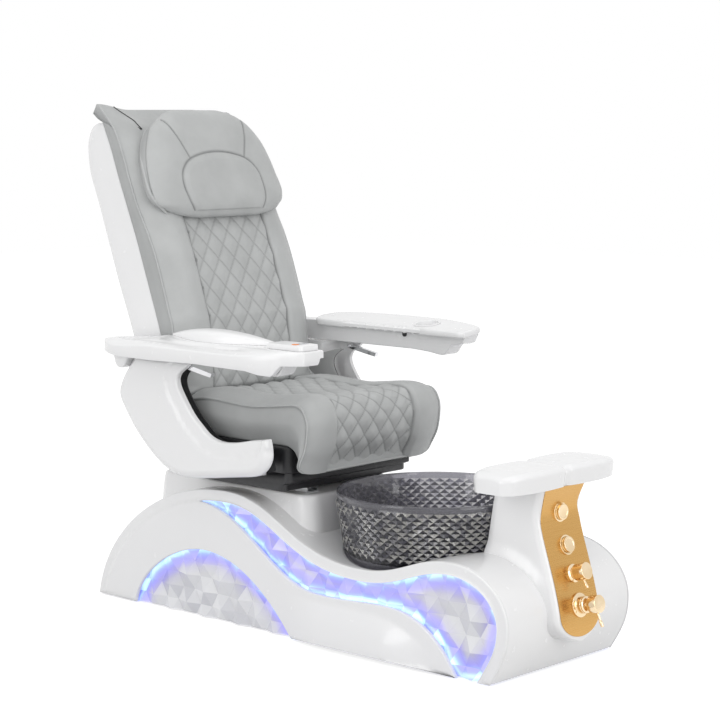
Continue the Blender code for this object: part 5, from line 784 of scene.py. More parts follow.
# ---------------------------------------------------------------- console column
# Hollow white moulding that stands on the nose: square behind, rounded in front, narrow at its waist,
# with a tongue that laps the nose under the metal plate.
PLATE_TOP, WAIST, FOOT = np.array([0.681, 0.4495]), np.array([0.664, 0.387]), np.array([0.736, 0.093])
front_side = np.vstack([curve(PLATE_TOP, (0.674, 0.4276), (0.664, 0.4089), WAIST, 20),
                        curve(WAIST, (0.667, 0.3282), (0.728, 0.2135), FOOT, 70), [FOOT, (0.738, 0.069)]])
COLUMN_HALF, COLUMN_FOOT = 0.087, 0.081


def console_x(z):
    """Front face of the console at a height, read off its side view."""
    return np.interp(z, front_side[::-1, 1], front_side[::-1, 0])


def console_frame(z):
    """Point on the console's front at a height, and the direction straight out of it."""
    slope = (console_x(z + 0.004) - console_x(z - 0.004)) / 0.008
    out = np.array([1.0, 0.0, -slope])
    return np.array([console_x(z), 0.0, z]), out / np.linalg.norm(out)


def tongue_half(z, half, foot):
    """Half width of a shape whose foot is a half ellipse."""
    tall = 0.060 * half / COLUMN_HALF
    share = np.clip((foot + tall - z) / tall, 0.0, 1.0)
    return half * np.sqrt(np.maximum(1 - share ** 2, 0.0))


def column_ring(z):
    """Plan of the column at a height: rounded in front, square behind, hollowed where the bowl's pocket comes
    near, and flared by 10 mm where it meets the wave."""
    half = float(tongue_half(z, COLUMN_HALF, COLUMN_FOOT))
    rear = 0.505 + 0.035 * np.clip((z - 0.219) / 0.2305, 0.0, 1.0) ** 1.4
    front = float(console_x(z))
    radius = min(0.018, half * 0.7)
    near = arc((front - radius, radius - half), radius, -90, 0, 12)
    side_run = np.linspace(0.0, 1.0, 10)[:-1, None]
    right = np.vstack([np.array([rear + 0.004, -half]) * (1 - side_run) + near[0] * side_run, near])
    back = np.column_stack([np.full(9, rear), np.linspace(half - 0.004, 0.004 - half, 9)])
    ring = np.vstack([right, right[::-1] * (1, -1), back])
    to_bowl = bowl_radius(min(z, RIM_Z)) + POCKET
    if z > 0.22:
        ring[:, 0] = np.maximum(ring[:, 0], np.sqrt(to_bowl ** 2 - ring[:, 1] ** 2) + BOWL_X)
    flare = 0.010 * soft((wave_height(ring[:, 0]) + 0.035 - z) / 0.035) * (ring[:, 0] < front - 0.03)
    ring[:, 1] += np.sign(ring[:, 1]) * flare * (np.abs(ring[:, 1]) > half - 0.006)
    return np.column_stack([ring, np.full(len(ring), z)])


quarter = 1 - np.cos(np.linspace(0.10, math.pi / 2, 18))
heights = np.concatenate([COLUMN_FOOT + 0.060 * quarter, np.linspace(0.150, 0.4495, 70)])
rings = np.array([column_ring(z) for z in heights])
on_wave = np.minimum(wave_height(np.minimum(rings[:, :, 0], 0.695)) - 0.012, 0.30)
rings[:, :, 2] = np.maximum(rings[:, :, 2], on_wave * (rings[:, :, 0] < 0.60))
make("console_moulding", *lofted(rings), WHITE, "base", "console_column", sharp=50)

# ---------------------------------------------------------------- control plate
# Sheet brass 2 mm thick, brushed across, lacquered gold and bent to the console's front. Its waisted
# sides are straight above and its foot is round.
GOLD, shader, where = finish("brushed_gold_sheet", (0.60, 0.35, 0.115), 0.28, 1.0)
brushed = noise(GOLD, where, 620.0, 2.0, (0.02, 0.02, 4.0))
tint(GOLD, brushed, shader.inputs["Base Color"], (0.57, 0.325, 0.102), (0.63, 0.375, 0.130))
vary(GOLD, brushed, shader.inputs["Roughness"], 0.22, 0.34)
relief(GOLD, brushed, 0.00002)
PLATE_FOOT = 0.093
quarter = 1 - np.cos(np.linspace(0.0, math.pi / 2, 26))
heights = np.concatenate([PLATE_FOOT + 0.0517 * quarter, np.linspace(0.150, 0.4490, 80)])
half = tongue_half(heights, 0.075, PLATE_FOOT) - 0.006 * soft((heights - 0.36) / 0.04) * soft((0.452 - heights) / 0.05)
back = np.stack(np.broadcast_arrays((console_x(heights) + 0.0003)[:, None], half[:, None] * np.linspace(-1.0, 1.0, 25),
                                    heights[:, None]), axis=2)
front = back + (0.002, 0.0, 0.0)
front[:, [0, -1], 0] -= 0.0005
points, faces = lofted(np.concatenate([front, back[:, ::-1]], axis=1))
make("control_plate_sheet", points, faces, GOLD, "base", "control_plate", sharp=40)

# ---------------------------------------------------------------- buttons, diverter and mixer
# Turned brass, polished and plated pale gold: two push buttons in bezels, a quarter-turn diverter with
# a pin, and a single-lever mixer whose cap tilts on its cartridge.
PALE, shader, where = finish("pale_gold_plating", (0.84, 0.67, 0.44), 0.10, 1.0)
vary(PALE, noise(PALE, where, 70.0, 3.0), shader.inputs["Roughness"], 0.07, 0.16)
tint(PALE, noise(PALE, where, 25.0, 2.0), shader.inputs["Base Color"], (0.79, 0.61, 0.38), (0.88, 0.72, 0.50))


def on_plate(z):
    """Point on the plate's front at a height, the way out of it, and the way down along it."""
    point, out = console_frame(z)
    return point + out * 0.0026, out, np.array([out[2], 0.0, -out[0]])


def rounded(profile, edge):
    """A (radius, along) profile with every corner cut by a small arc of five points."""
    p = [np.asarray(q, float) for q in profile]
    out = [p[0]]
    for before, here, after in zip(p, p[1:], p[2:]):
        size = min(edge, np.linalg.norm(here - before) * 0.45, np.linalg.norm(after - here) * 0.45)
        if size < 1e-5:
            out.append(here)
            continue
        start = here + (before - here) / np.linalg.norm(before - here) * size
        end = here + (after - here) / np.linalg.norm(after - here) * size
        out += [(1 - t) ** 2 * start + 2 * t * (1 - t) * here + t * t * end for t in (0.0, 0.25, 0.5, 0.75, 1.0)]
    return np.array(out + [p[-1]])


for name, z in (("light_button", 0.385), ("pump_button", 0.306)):
    seat, out, _ = on_plate(z)
    ring = rounded([(0.0200, -0.010), (0.0215, -0.010), (0.0215, -0.0008), (0.0245, -0.0008), (0.0245, 0.0030),
                    (0.0200, 0.0030), (0.0200, -0.010)], 0.0008)
    make(f"{name}_ring", *turned(ring, seat, out, 64), PALE, "base", f"{name}_bezel", sharp=60)
    cap = rounded([(0.0, -0.008), (0.0195, -0.008), (0.0195, 0.0118), (0.0150, 0.0118), (0.0140, 0.0110),
                   (0.0, 0.0110)], 0.0014)
    make(f"{name}_cap", *turned(cap, seat, out, 64), PALE, name, name, sharp=60)


def pin(start, end, radius):
    """A pin lever: thin where it starts, thicker over its last third, with a rounded tip."""
    along = end - start
    size = np.linalg.norm(along)
    profile = [(0.0, 0.0), (radius * 0.8, 0.0), (radius * 0.8, size * 0.58), (radius, size * 0.72), (radius, size),
               (0.0, size)]
    return turned(rounded(profile, radius * 0.45), start, along, 32)


def joined(first, second):
    """Two bodies as one list of points and faces."""
    count = len(first[0])
    return np.vstack([first[0], second[0]]), first[1] + [[number + count for number in face] for face in second[1]]


seat, out, down_plate = on_plate(0.240)
body = rounded([(0.0, -0.030), (0.0123, -0.030), (0.0123, -0.0006), (0.0225, -0.0006), (0.0225, 0.004), (0.0123, 0.010),
                (0.0, 0.010)], 0.0012)
make("diverter_body", *turned(body, seat, out, 56), PALE, "base", "diverter_valve", sharp=60)
knob = rounded([(0.0, 0.0103), (0.0185, 0.0103), (0.0205, 0.0130), (0.0205, 0.0440), (0.0, 0.0440)], 0.0016)
middle = seat + out * 0.0273
stub = pin(middle + down_plate * 0.0165, middle + down_plate * 0.0405 + out * 0.006, 0.0035)
make("diverter_cap", *joined(turned(knob, seat, out, 64), stub), PALE, "diverter", "diverter_knob", sharp=60)

seat, out, down_plate = on_plate(0.166)
body = rounded([(0.0, -0.034), (0.0172, -0.034), (0.0172, -0.0006), (0.0295, -0.0006), (0.0295, 0.0040),
                (0.0205, 0.0062), (0.0205, 0.0170), (0.0195, 0.0180), (0.0205, 0.0190), (0.0205, 0.0225),
                (0.0172, 0.0250), (0.0, 0.0250)], 0.0010)
make("mixer_body_turned", *turned(body, seat, out, 64), PALE, "base", "mixer_body", sharp=60)
pivot = seat + out * 0.030
cap = rounded([(0.0, -0.0035), (0.0040, -0.0030), (0.0050, 0.0030), (0.0040, 0.0060), (0.0195, 0.0060),
               (0.0215, 0.0080), (0.0215, 0.0320), (0.0, 0.0320)], 0.0016)
middle = pivot + out * 0.0192
stub = pin(middle + down_plate * 0.0175, middle + down_plate * 0.0555 + out * 0.010, 0.0040)
make("mixer_cap", *joined(turned(cap, pivot, out, 64), stub), PALE, "mixer_handle", "mixer_handle", sharp=60)

# ---------------------------------------------------------------- footrest
# White moulding across the column, open below: two saddle lobes that meet in a groove.
REST_X, REST_FOOT, REST_HALF = 0.621, 0.4498, 0.215


def footrest_section(y):
    """Cross-section at y. The half depth and the top fall away at both ends as (1 - s^9)^1/2, and a Gaussian
    groove lies in the middle; each section is a flat top with elliptic shoulders over leaning sides."""
    s = abs(y) / REST_HALF
    end = max(1 - s ** 9, 0.0) ** 0.5
    lobe = 0.90 + 0.10 * math.sin(math.pi * min(s * 1.15, 1.0))
    groove = math.exp(-(y / 0.010) ** 2)
    half = 0.078 * (lobe * (0.40 + 0.60 * end) - 0.10 * groove)
    top = REST_FOOT + 0.050 * (0.62 + 0.38 * end) - 0.008 * groove
    crown = min(half * 0.30, 0.018)
    left = arc((crown - half, top - crown * 0.75), (crown, crown * 0.75), 180, 90, 12)
    middle = np.linspace(left[-1], left[-1] * (-1, 1), 9)[1:-1]
    middle[:, 1] += 0.0012 * np.sin(np.linspace(0.0, math.pi, 9)[1:-1])
    rise = np.linspace(0.0, 1.0, 8)[:-1, None]
    left = np.vstack([np.array([-half * 0.94, REST_FOOT]) * (1 - rise) + left[0] * rise, left])
    return upright(np.vstack([left, middle, left[::-1] * (-1, 1)]) + (REST_X, 0.0), y)


ys = REST_HALF * np.sin(np.linspace(-math.pi / 2, math.pi / 2, 61))
ys = np.unique(np.concatenate([ys, np.linspace(-0.03, 0.03, 25)]))
make("footrest_moulding", *lofted([footrest_section(y) for y in ys]), WHITE, "base", "footrest", sharp=50)

# ---------------------------------------------------------------- seat skirt
# Black apron of vacuum-formed plastic that hides the slide between the riser and the seat, and the black
# rim of the pan above it. The apron's lower front edge is cut back, so it passes over the bowl's rim.
BLACK, shader, where = finish("black_textured_plastic", (0.012, 0.012, 0.014), 0.42)
vary(BLACK, noise(BLACK, where, 120.0, 3.0), shader.inputs["Roughness"], 0.34, 0.52)
tint(BLACK, noise(BLACK, where, 6.0, 3.0), shader.inputs["Base Color"], (0.009, 0.009, 0.011), (0.020, 0.020, 0.022))
relief(BLACK, noise(BLACK, where, 1500.0, 1.0), 0.00003)
CUT_BACK = 0.019


def hoop(name, rings, *stands_for):
    """A black band round the seat from rings that close on themselves."""
    rings = np.array(rings)
    make(name, rings.reshape(-1, 3), quads(len(rings), rings.shape[1], True), BLACK, "seat", *stands_for, sharp=50)


low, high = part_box("seat_skirt")
levels = ((0.0, 0.0015, CUT_BACK), (0.0015, 0.0, CUT_BACK), (0.0165, 0.0, CUT_BACK), (0.0235, 0.0, 0.0),
          (0.0475, 0.0, 0.0), (0.0495, 0.002, 0.0), (0.0495, 0.006, 0.0), (0.0235, 0.006, 0.0),
          (0.0165, 0.006, CUT_BACK), (0.0, 0.006, CUT_BACK), (0.0, 0.0015, CUT_BACK))
hoop("skirt_moulding", [plan_ring(low.x + inset, -0.012 - inset - cut, 0.236 - inset, 0.020, low.z + rise)
                        for rise, inset, cut in levels], "seat_skirt")
levels = ((0.426, 0.002), (0.428, 0.0), (0.490, 0.0), (0.4945, 0.0013), (0.4965, 0.0045), (0.4965, 0.020),
          (0.4925, 0.020), (0.4910, 0.006), (0.428, 0.006), (0.426, 0.004), (0.426, 0.002))
hoop("seat_pan_rim", [plan_ring(-0.384 + inset, -0.004 - inset, 0.2465 - inset, 0.026, z) for z, inset in levels])

# ---------------------------------------------------------------- seat cushion
# Foam under sewn grey leather: smooth bolsters, a diamond-quilted middle that runs over the nose, and
# piped side panels. The top curls over the front edge of its board.
LEATHER, shader, where = finish("grey_grained_leather", (0.42, 0.43, 0.428), 0.46)
shader.inputs["Sheen Weight"].default_value = 0.08
shader.inputs["Sheen Roughness"].default_value = 0.4
pores = LEATHER.node_tree.nodes.new("ShaderNodeTexVoronoi")
pores.inputs["Scale"].default_value = 620.0
LEATHER.node_tree.links.new(where, pores.inputs["Vector"])
# The seam mark mixes the leather towards dark grey: dark thread with painted shadow in the sewn grooves, and painted
# shade over the side panels.
seam_and_shade_mix = mixed(LEATHER, "MIX", shader.inputs["Base Color"])
seam_and_shade_mix["B"].default_value = (0.185, 0.190, 0.190, 1.0)
LEATHER.node_tree.links.new(marked(LEATHER, "seam"), seam_and_shade_mix["Factor"])
tint(LEATHER, noise(LEATHER, where, 14.0, 4.0), seam_and_shade_mix["A"], (0.420, 0.429, 0.427), (0.468, 0.478, 0.476))
vary(LEATHER, noise(LEATHER, where, 90.0, 4.0), shader.inputs["Roughness"], 0.40, 0.56)
grain = relief(LEATHER, pores.outputs["Distance"], 0.00018, 0.8)
relief(LEATHER, noise(LEATHER, where, 22.0, 3.0), 0.0012, 0.5, grain)
QUILT = 0.145           # half width of the quilted middle
DIAMOND_WIDE = 0.058
DIAMOND_TALL = 0.078
SEAT_HALF = 0.252
CORD = 0.0028           # radius of the piping


def diamonds(y, run):
    """Sewn diamonds: distance to the nearest of two families of slanting seams, and a puff between them that
    grows as the square root of the distances to both."""
    u = (y + QUILT) / DIAMOND_WIDE
    v = run / DIAMOND_TALL
    slope = math.hypot(1 / DIAMOND_WIDE, 1 / DIAMOND_TALL)
    first = np.abs(u + v - np.round(u + v)) / slope
    second = np.abs(u - v - np.round(u - v)) / slope
    widest = 0.5 / slope
    return np.minimum(first, second), np.sqrt(np.clip(first / widest, 0, 1) * np.clip(second / widest, 0, 1))


def seam_line(distance, width=0.0016):
    """1 on a seam, falling off as a Gaussian."""
    return np.exp(-(distance / width) ** 2)


def crown_fall(y, half, depth):
    """How far a cushion's face falls away towards its side seam: a power of the way past 62 % of its half width."""
    return depth * np.maximum((np.abs(y) / half - 0.62) / 0.38, 0.0) ** 2.3


def padded_form(face, under, half, height, sides, across=150, belly=0.007, tuck=0.012):
    """Points, faces and marks of a cushion: rows follow the face path from end to end, each as wide as half
    says. A row runs up one side panel, over the face and down the other. height gives rise and seam mark; the
    side panels' mark never falls below 0.24, painted shade that darkens them."""
    way = square_to(face)
    t = np.linspace(0.0, 1.0, sides)[None, :]
    wide = np.broadcast_to(half, len(face))[:, None]
    spread = np.linspace(-1.0, 1.0, across)
    y = wide * (0.45 * np.sin(1.35 * spread) / math.sin(1.35) + 0.55 * spread)
    rise, seam = height(face, run_along(face)[:, None] + 0 * y, y)
    top = np.stack([face[:, None, 0] + way[:, None, 0] * rise, y, face[:, None, 1] + way[:, None, 1] * rise], axis=2)
    lower = upright(under, wide[:, 0])[:, None]
    left = lower + (top[:, -1:] - lower) * t[..., None]
    left[:, :, 1] = wide - tuck + tuck * soft(t * 1.6) + belly * np.sin(np.pi * t)
    left[:, :, 1] -= 0.004 * np.exp(-((1 - t) / 0.05) ** 2)
    # The side panels' mark: the seam under the piping, and at least 0.24 everywhere, painted shade on the panels.
    side_seam_and_shade = np.broadcast_to(np.maximum(seam_line((1 - t) * 0.10, 0.006), 0.24), left.shape[:2])
    grid = np.concatenate([left[:, :-1] * (1, -1, 1), top, left[:, ::-1][:, 1:]], axis=1)
    marks = np.concatenate([side_seam_and_shade[:, :-1], seam, side_seam_and_shade[:, ::-1][:, 1:]], axis=1)
    return *lofted(grid), {"seam": marks.ravel()}


def cushion(name, form, rides, node):
    """A padded piece in leather from its form."""
    points, faces, marks = form
    make(name, points, faces, LEATHER, rides, node, sharp=80, marks=marks)


def piping(path, radius, sides=10, aside=(0.0, 1.0, 0.0)):
    """Points and faces of a sewn cord along a path in space: rings square to it, closed by flat ends. aside is
    any direction that the path never takes."""
    along = np.gradient(path, axis=0)
    along /= np.linalg.norm(along, axis=1)[:, None]
    first = np.cross(along, aside)
    first /= np.linalg.norm(first, axis=1)[:, None]
    second = np.cross(along, first)
    t = np.linspace(0.0, 2 * math.pi, sides, endpoint=False)
    ring = np.cos(t)[None, :, None] * first[:, None] + np.sin(t)[None, :, None] * second[:, None]
    return lofted(path[:, None] + radius * ring)


seat_face = evenly(through([(-0.372, 0.604), (-0.284, 0.615), (-0.142, 0.609), (-0.069, 0.615), (0.003, 0.623),
                            (0.039, 0.621), (0.063, 0.606), (0.077, 0.581), (0.082, 0.555), (0.079, 0.519),
                            (0.071, 0.486), (0.054, 0.454), (0.043, 0.428)], 16), 220)
nose_under = through([(-0.010, 0.497), (0.010, 0.488), (0.024, 0.470), (0.030, 0.448), (0.034, 0.430)], 12)
seat_under = np.vstack([evenly(np.array([(-0.372, 0.497), (-0.010, 0.497)]), 150), evenly(nose_under, 71)[1:]])
seat_run = np.linspace(0.0, run_along(seat_face)[-1], 220)
seat_half = SEAT_HALF - round_off(seat_run[-1] - seat_run, 0.036)


def seat_height(face, run, y):
    """Bolsters fall away to their seams; the quilted middle lies 8 mm lower, 20 mm on the nose, and puffs 5 mm."""
    nose = soft((run - 0.34) / 0.16)
    inside = soft((QUILT + 0.016 - np.abs(y)) / 0.030)
    distance, puff = diamonds(y, run)
    in_quilt = np.abs(y) < QUILT
    edge = seam_line(np.abs(np.abs(y) - QUILT), 0.0022)
    rise = -(0.008 + 0.012 * nose) * inside - crown_fall(y, SEAT_HALF, 0.021 - 0.008 * nose)
    rise += np.where(in_quilt, 0.0065 * puff - 0.001, 0.0) - 0.004 * edge
    swell = 0.004 * np.sin(np.pi * np.clip((np.abs(y) - QUILT) / (SEAT_HALF - QUILT), 0, 1))
    return rise + swell, np.maximum(np.where(in_quilt, seam_line(distance), 0.0) * 0.75, edge)


form = padded_form(seat_face, seat_under, seat_half, seat_height, 26)
cushion("seat_cushion_cover", form, "seat", "seat_cushion")
edge_rise = -0.020 + 0.008 * soft((seat_run - 0.34) / 0.16)
for side, label in SIDES:
    path = raised(seat_face, edge_rise, side * (seat_half + 0.0005))
    make(f"seat_piping_{label}", *piping(path[::2], CORD), LEATHER, "seat", sharp=60)

# ---------------------------------------------------------------- back shell
# Deep dish of white acrylic, 5 mm thick, that holds the back cushion and hides the massage unit.
on_seam = [(-0.440, 0.620), (-0.480, 0.750), (-0.534, 0.896), (-0.568, 0.986), (-0.599, 1.060), (-0.641, 1.158),
           (-0.670, 1.232), (-0.703, 1.303)]
seam_path = evenly(through(on_seam, 14), 120)
rear_path = evenly(through([(-0.440, 0.620), (-0.495, 0.588), (-0.548, 0.582), (-0.572, 0.612), (-0.610, 0.738),
                            (-0.669, 0.881), (-0.724, 1.031), (-0.751, 1.101), (-0.778, 1.168), (-0.786, 1.225),
                            (-0.782, 1.262), (-0.764, 1.292), (-0.736, 1.305), (-0.703, 1.303)], 14), 120)
share = -np.cos(np.linspace(0.0, math.pi, 91))
full = np.maximum(1 - np.abs(share) ** 30, 0.0) ** (1 / 4.5)
DISH_HALF = 0.246


def dish(half, seam, rear):
    """Rows across the shell: each reaches from the seam line to the rear line by (1 - |s|^30)^(1/4.5), a box
    with rounded corners."""
    x = seam[:, None, 0] + (rear - seam)[:, None, 0] * full
    z = seam[:, None, 1] + (rear - seam)[:, None, 1] * full
    return np.stack([x, np.broadcast_to(half * share, x.shape), z], axis=2)


depth = rear_path - seam_path
inner_seam = seam_path + (seam_path[::-1] - seam_path) * 0.012
inner_rear = rear_path - depth / np.maximum(np.linalg.norm(depth, axis=1), 0.006)[:, None] * SKIN
inner_rear[[0, -1]] = inner_seam[[0, -1]]
outside = dish(DISH_HALF, seam_path, rear_path)
inside = dish(DISH_HALF - SKIN, inner_seam, inner_rear)
rows, columns = outside.shape[:2]
count = rows * columns
order = np.arange(count).reshape(rows, columns)
rim = np.concatenate([order[0], order[1:, -1], order[-1, -2::-1], order[-2:0:-1, 0]]).tolist()
faces = quads(rows, columns) + quads(rows, columns, False, count)
faces += [[b, a, count + a, count + b] for a, b in zip(rim, rim[1:] + rim[:1])]
points = np.vstack([outside.reshape(-1, 3), inside.reshape(-1, 3)])
make("back_dish", points, faces, WHITE, "back", "back_shell", sharp=50)

# ---------------------------------------------------------------- back cushion
# The same leather over foam. The middle is quilted below the pillow; its bolsters are smooth, its top
# flares over the shell's edge and a piped seam joins the face to its side panels.
back_face = evenly(through([(-0.378, 0.588), (-0.377, 0.640), (-0.388, 0.772), (-0.403, 0.824), (-0.446, 0.949),
                            (-0.481, 1.034), (-0.534, 1.154), (-0.566, 1.204), (-0.600, 1.240), (-0.640, 1.281),
                            (-0.678, 1.317), (-0.704, 1.341), (-0.723, 1.355)], 16), 240)[::-1]
shell_line = evenly(through([(-0.430, 0.596)] + on_seam, 14), 209) + (0.0006, 0.00024)
over_shell = evenly(np.array([(-0.7024, 1.3045), (-0.712, 1.312), (-0.719, 1.320)]), 32)
back_under = np.vstack([shell_line, over_shell[1:]])[::-1]
BACK_HALF = 0.250


def side_fall(z):
    """How far the sides fall away at a height: 40 mm, 54 mm behind the pillow, and nothing at the top and foot."""
    depth = 0.040 + 0.014 * np.exp(-((z - 1.13) / 0.09) ** 2)
    return depth * (1 - soft((z - 1.185) / 0.125)) * soft((z - 0.585) / 0.03)


def back_height(face, run, y):
    """The quilt lies 8 mm below its bolsters; under the pillow the face sinks 30 mm; the quilt puffs 6 mm. The
    sides fall away, but not at the top, where the near corner stays up like an ear and the edge between sags."""
    z = face[:, None, 1]
    pillow = soft((z - 1.075) / 0.035)
    fade = 1 - soft((z - 1.195) / 0.050)
    edge = QUILT + 0.016 + pillow * 0.034
    inside = soft((edge - np.abs(y)) / 0.026)
    depth = (0.008 + 0.022 * pillow) * fade
    distance, puff = diamonds(y, run)
    below = 1 - pillow
    in_quilt = (np.abs(y) < QUILT) * below
    edge_seam = seam_line(np.abs(np.abs(y) - QUILT), 0.0022) * below
    rise = -depth * inside - crown_fall(y, BACK_HALF, side_fall(z)) - 0.004 * edge_seam
    rise += in_quilt * (0.0065 * puff - 0.001)
    rise -= soft((z - 1.285) / 0.060) * (0.019 * soft((0.245 + y) / 0.120) + 0.009 * soft((y - 0.100) / 0.120))
    swell = 0.005 * np.sin(np.pi * np.clip((np.abs(y) - QUILT) / (BACK_HALF - QUILT), 0, 1)) * below
    foot = -0.014 * np.maximum(1 - (run[-1, 0] - run) / 0.020, 0.0) ** 2
    return rise + swell + foot, np.maximum(seam_line(distance) * in_quilt * 0.6, edge_seam * 0.8)


form = padded_form(back_face, back_under, BACK_HALF, back_height, 22, belly=0.004, tuck=0.004)
cushion("back_cushion_cover", form, "back", "back_cushion")
for side, label in SIDES:
    sag = 0.028 * soft((back_face[:, 1] - 1.285) / 0.060) * (side > 0)
    path = raised(back_face, -side_fall(back_face[:, 1]) - sag, side * 0.2505)
    make(f"back_piping_{label}", *piping(path[6::2], CORD), LEATHER, "back", sharp=60)

# ---------------------------------------------------------------- head pillow
# A thick loose pad strapped over the top: leather, piped all round a little inside its edge, with an
# arched panel sewn into its front and two short seams from its upper edge to the arch.
PAD_RUN = 0.3575        # length of the pad's face from its upper edge to its lower one
pillow_side = through([(-0.494, 1.041), (-0.476, 1.049), (-0.467, 1.072), (-0.470, 1.100), (-0.492, 1.150),
                       (-0.518, 1.215), (-0.541, 1.272), (-0.568, 1.317), (-0.600, 1.336), (-0.640, 1.340)], 14)
pillow_front = evenly(pillow_side, 160)[::-1]
sunk = back_face - square_to(back_face) * 0.0294
pillow_under = evenly(sunk[(back_face[:, 1] > 1.062) & (back_face[:, 1] < 1.300)], 160)
pillow_run = np.linspace(0.0, run_along(pillow_front)[-1], 160)
half_at = through([(0.0, 0.108), (0.036, 0.142), (0.060, 0.164), (0.108, 0.199), (0.155, 0.222), (0.207, 0.235),
                   (0.262, 0.239), (0.290, 0.231), (0.313, 0.213), (0.334, 0.190), (0.347, 0.172), (PAD_RUN, 0.150)], 8)
pillow_half = np.interp(pillow_run / pillow_run[-1] * PAD_RUN, half_at[:, 0], half_at[:, 1])
arch_side = np.array([(0.128, 1.072), (0.141, 1.100), (0.147, 1.138), (0.139, 1.175), (0.108, 1.205), (0.055, 1.221)])
arch = through(np.vstack([arch_side * (-1, 1), [(0.0, 1.226)], arch_side[::-1]]), 8)
spokes = [np.array([(side * 0.100, 1.208), (side * 0.122, 1.260), (side * 0.146, 1.322)]) for side in (-1, 1)]


def pillow_height(face, run, y):
    """The pad thins towards its sides and ends; seams are Gaussian grooves along the arch and the two
    spokes; the arched panel stands a little proud."""
    span = run[-1, 0]
    t = np.abs(y) / pillow_half[:, None]
    spots = np.stack([y, np.broadcast_to(face[:, None, 1], y.shape)], axis=2).reshape(-1, 2)
    along_arch = to_line(spots, arch).reshape(y.shape)
    along_spoke = to_line(spots, *spokes).reshape(y.shape)
    sewn = np.maximum(seam_line(along_arch, 0.0024), seam_line(along_spoke, 0.0020))
    ends = 0.022 * np.maximum(1 - np.minimum(run, span - run) / 0.035, 0.0) ** 2
    sides = 0.036 * (1 - np.sqrt(1 - 0.985 * np.clip((t - 0.50) / 0.50, 0.0, 1.0) ** 2))
    rise = 0.004 * np.sin(np.pi * run / span) * np.cos(t * math.pi / 2) - sides - ends
    rise += within(spots, [arch]).reshape(y.shape) * 0.004 * soft(along_arch / 0.022) - 0.004 * sewn
    return rise, sewn * 0.85


form = padded_form(pillow_front, pillow_under, pillow_half, pillow_height, 24, 170)
cushion("head_pillow_cover", form, "back", "head_pillow")
low_line = pillow_under + (pillow_front - pillow_under) * np.linspace(0.26, 0.52, 160)[:, None]
right = upright(low_line, -pillow_half - 0.0045)
left = right[::-1] * (1, -1, 1)
across_foot = np.linspace(right[-1], left[0], 22)[1:-1]
half_top = np.linspace(right[0] * (1, 0, 1), right[0], 11)[:-1]
around = evenly(np.vstack([half_top, right, across_foot, left, half_top[::-1] * (1, -1, 1)]), 400)
make("head_pillow_piping", *piping(around, 0.0042, aside=(0.93, 0.0, 0.37)), LEATHER, "back", sharp=60)
strap_y = np.interp(back_face[:, 1], [1.270, 1.292, 1.318, 1.333, 1.342, 1.352],
                    [0.166, 0.160, 0.153, 0.160, 0.172, 0.186])
for side, label in SIDES:
    rise = back_height(back_face, run_along(back_face)[:, None], side * strap_y[:, None])[0][:, 0] + 0.0009
    path = raised(back_face, rise, side * strap_y)[back_face[:, 1] > 1.278]
    behind = [(-0.731, side * 0.190, 1.330), (-0.724, side * 0.190, 1.3075)]
    strap = evenly(through(np.vstack([path[::4], behind])[::-1], 4), 60)
    make(f"pillow_cord_{label}", *piping(strap, 0.0013, aside=(0.3, 1.0, 0.1)), BLACK, "back", sharp=60)

# ---------------------------------------------------------------- arm covers
# White C-shaped covers, open towards the seat, that hide the steel uprights. Their outer edge is broadly
# rounded and a shallow step follows the opening.
cover_side = [(-0.490, 0.693), (-0.518, 0.662), (-0.538, 0.634), (-0.551, 0.606), (-0.549, 0.580), (-0.529, 0.549),
              (-0.482, 0.492), (-0.416, 0.436), (-0.357, 0.404), (-0.304, 0.394), (-0.240, 0.398), (-0.130, 0.413),
              (-0.047, 0.425), (-0.014, 0.437), (0.007, 0.456), (0.018, 0.480), (0.017, 0.506), (0.012, 0.527)]
cover_inner = [(-0.047, 0.518), (-0.114, 0.505), (-0.164, 0.503), (-0.204, 0.514), (-0.238, 0.538), (-0.262, 0.558),
               (-0.284, 0.583), (-0.312, 0.622), (-0.321, 0.645), (-0.315, 0.662), (-0.300, 0.674), (-0.284, 0.685),
               (-0.278, 0.693)]
COVER_OUT, COVER_IN = 0.340, 0.3200     # distances y of the cover's face and of its thin edge's back
DEEPER = 0.0399         # how much deeper the rest of its back lies


def closed_evenly(loop, count):
    """Even points round a closed outline."""
    return evenly(np.vstack([loop, loop[:1]]), count)[:-1]


outer_run = through(cover_side, 8)
inner_run = through(cover_inner, 8)
cover_loop = closed_evenly(np.vstack([outer_run, inner_run]), 380)
flat, triangles, gap = panel([cover_loop], 0.008, (0.001, 0.0025, 0.005, 0.009, 0.016, 0.024))
to_opening = to_line(flat, inner_run)
bevel = 0.013 * np.maximum(1 - to_line(flat, outer_run[:-12]) / 0.016, 0.0)
step = 0.0055 * np.maximum(1 - np.maximum(to_opening - 0.038, 0.0) / 0.004, 0.0)
fall = round_off(gap, 0.006) + bevel + step
thick = soft((to_opening - 0.050) / 0.030) * soft((-0.020 - flat[:, 0]) / 0.030)
for side, label in SIDES:
    outline = flat.copy()
    if side > 0:
        outline[:, 0] -= 0.26 * np.maximum(flat[:, 0] + 0.055, 0.0)
    front, back = upright(outline, side * (COVER_OUT - fall)), upright(outline, side * (COVER_IN - DEEPER * thick))
    points, faces = walled(front, back, triangles)
    make(f"arm_cover_moulding_{label}", points, faces, WHITE, "seat", f"arm_cover_{label}", sharp=50)

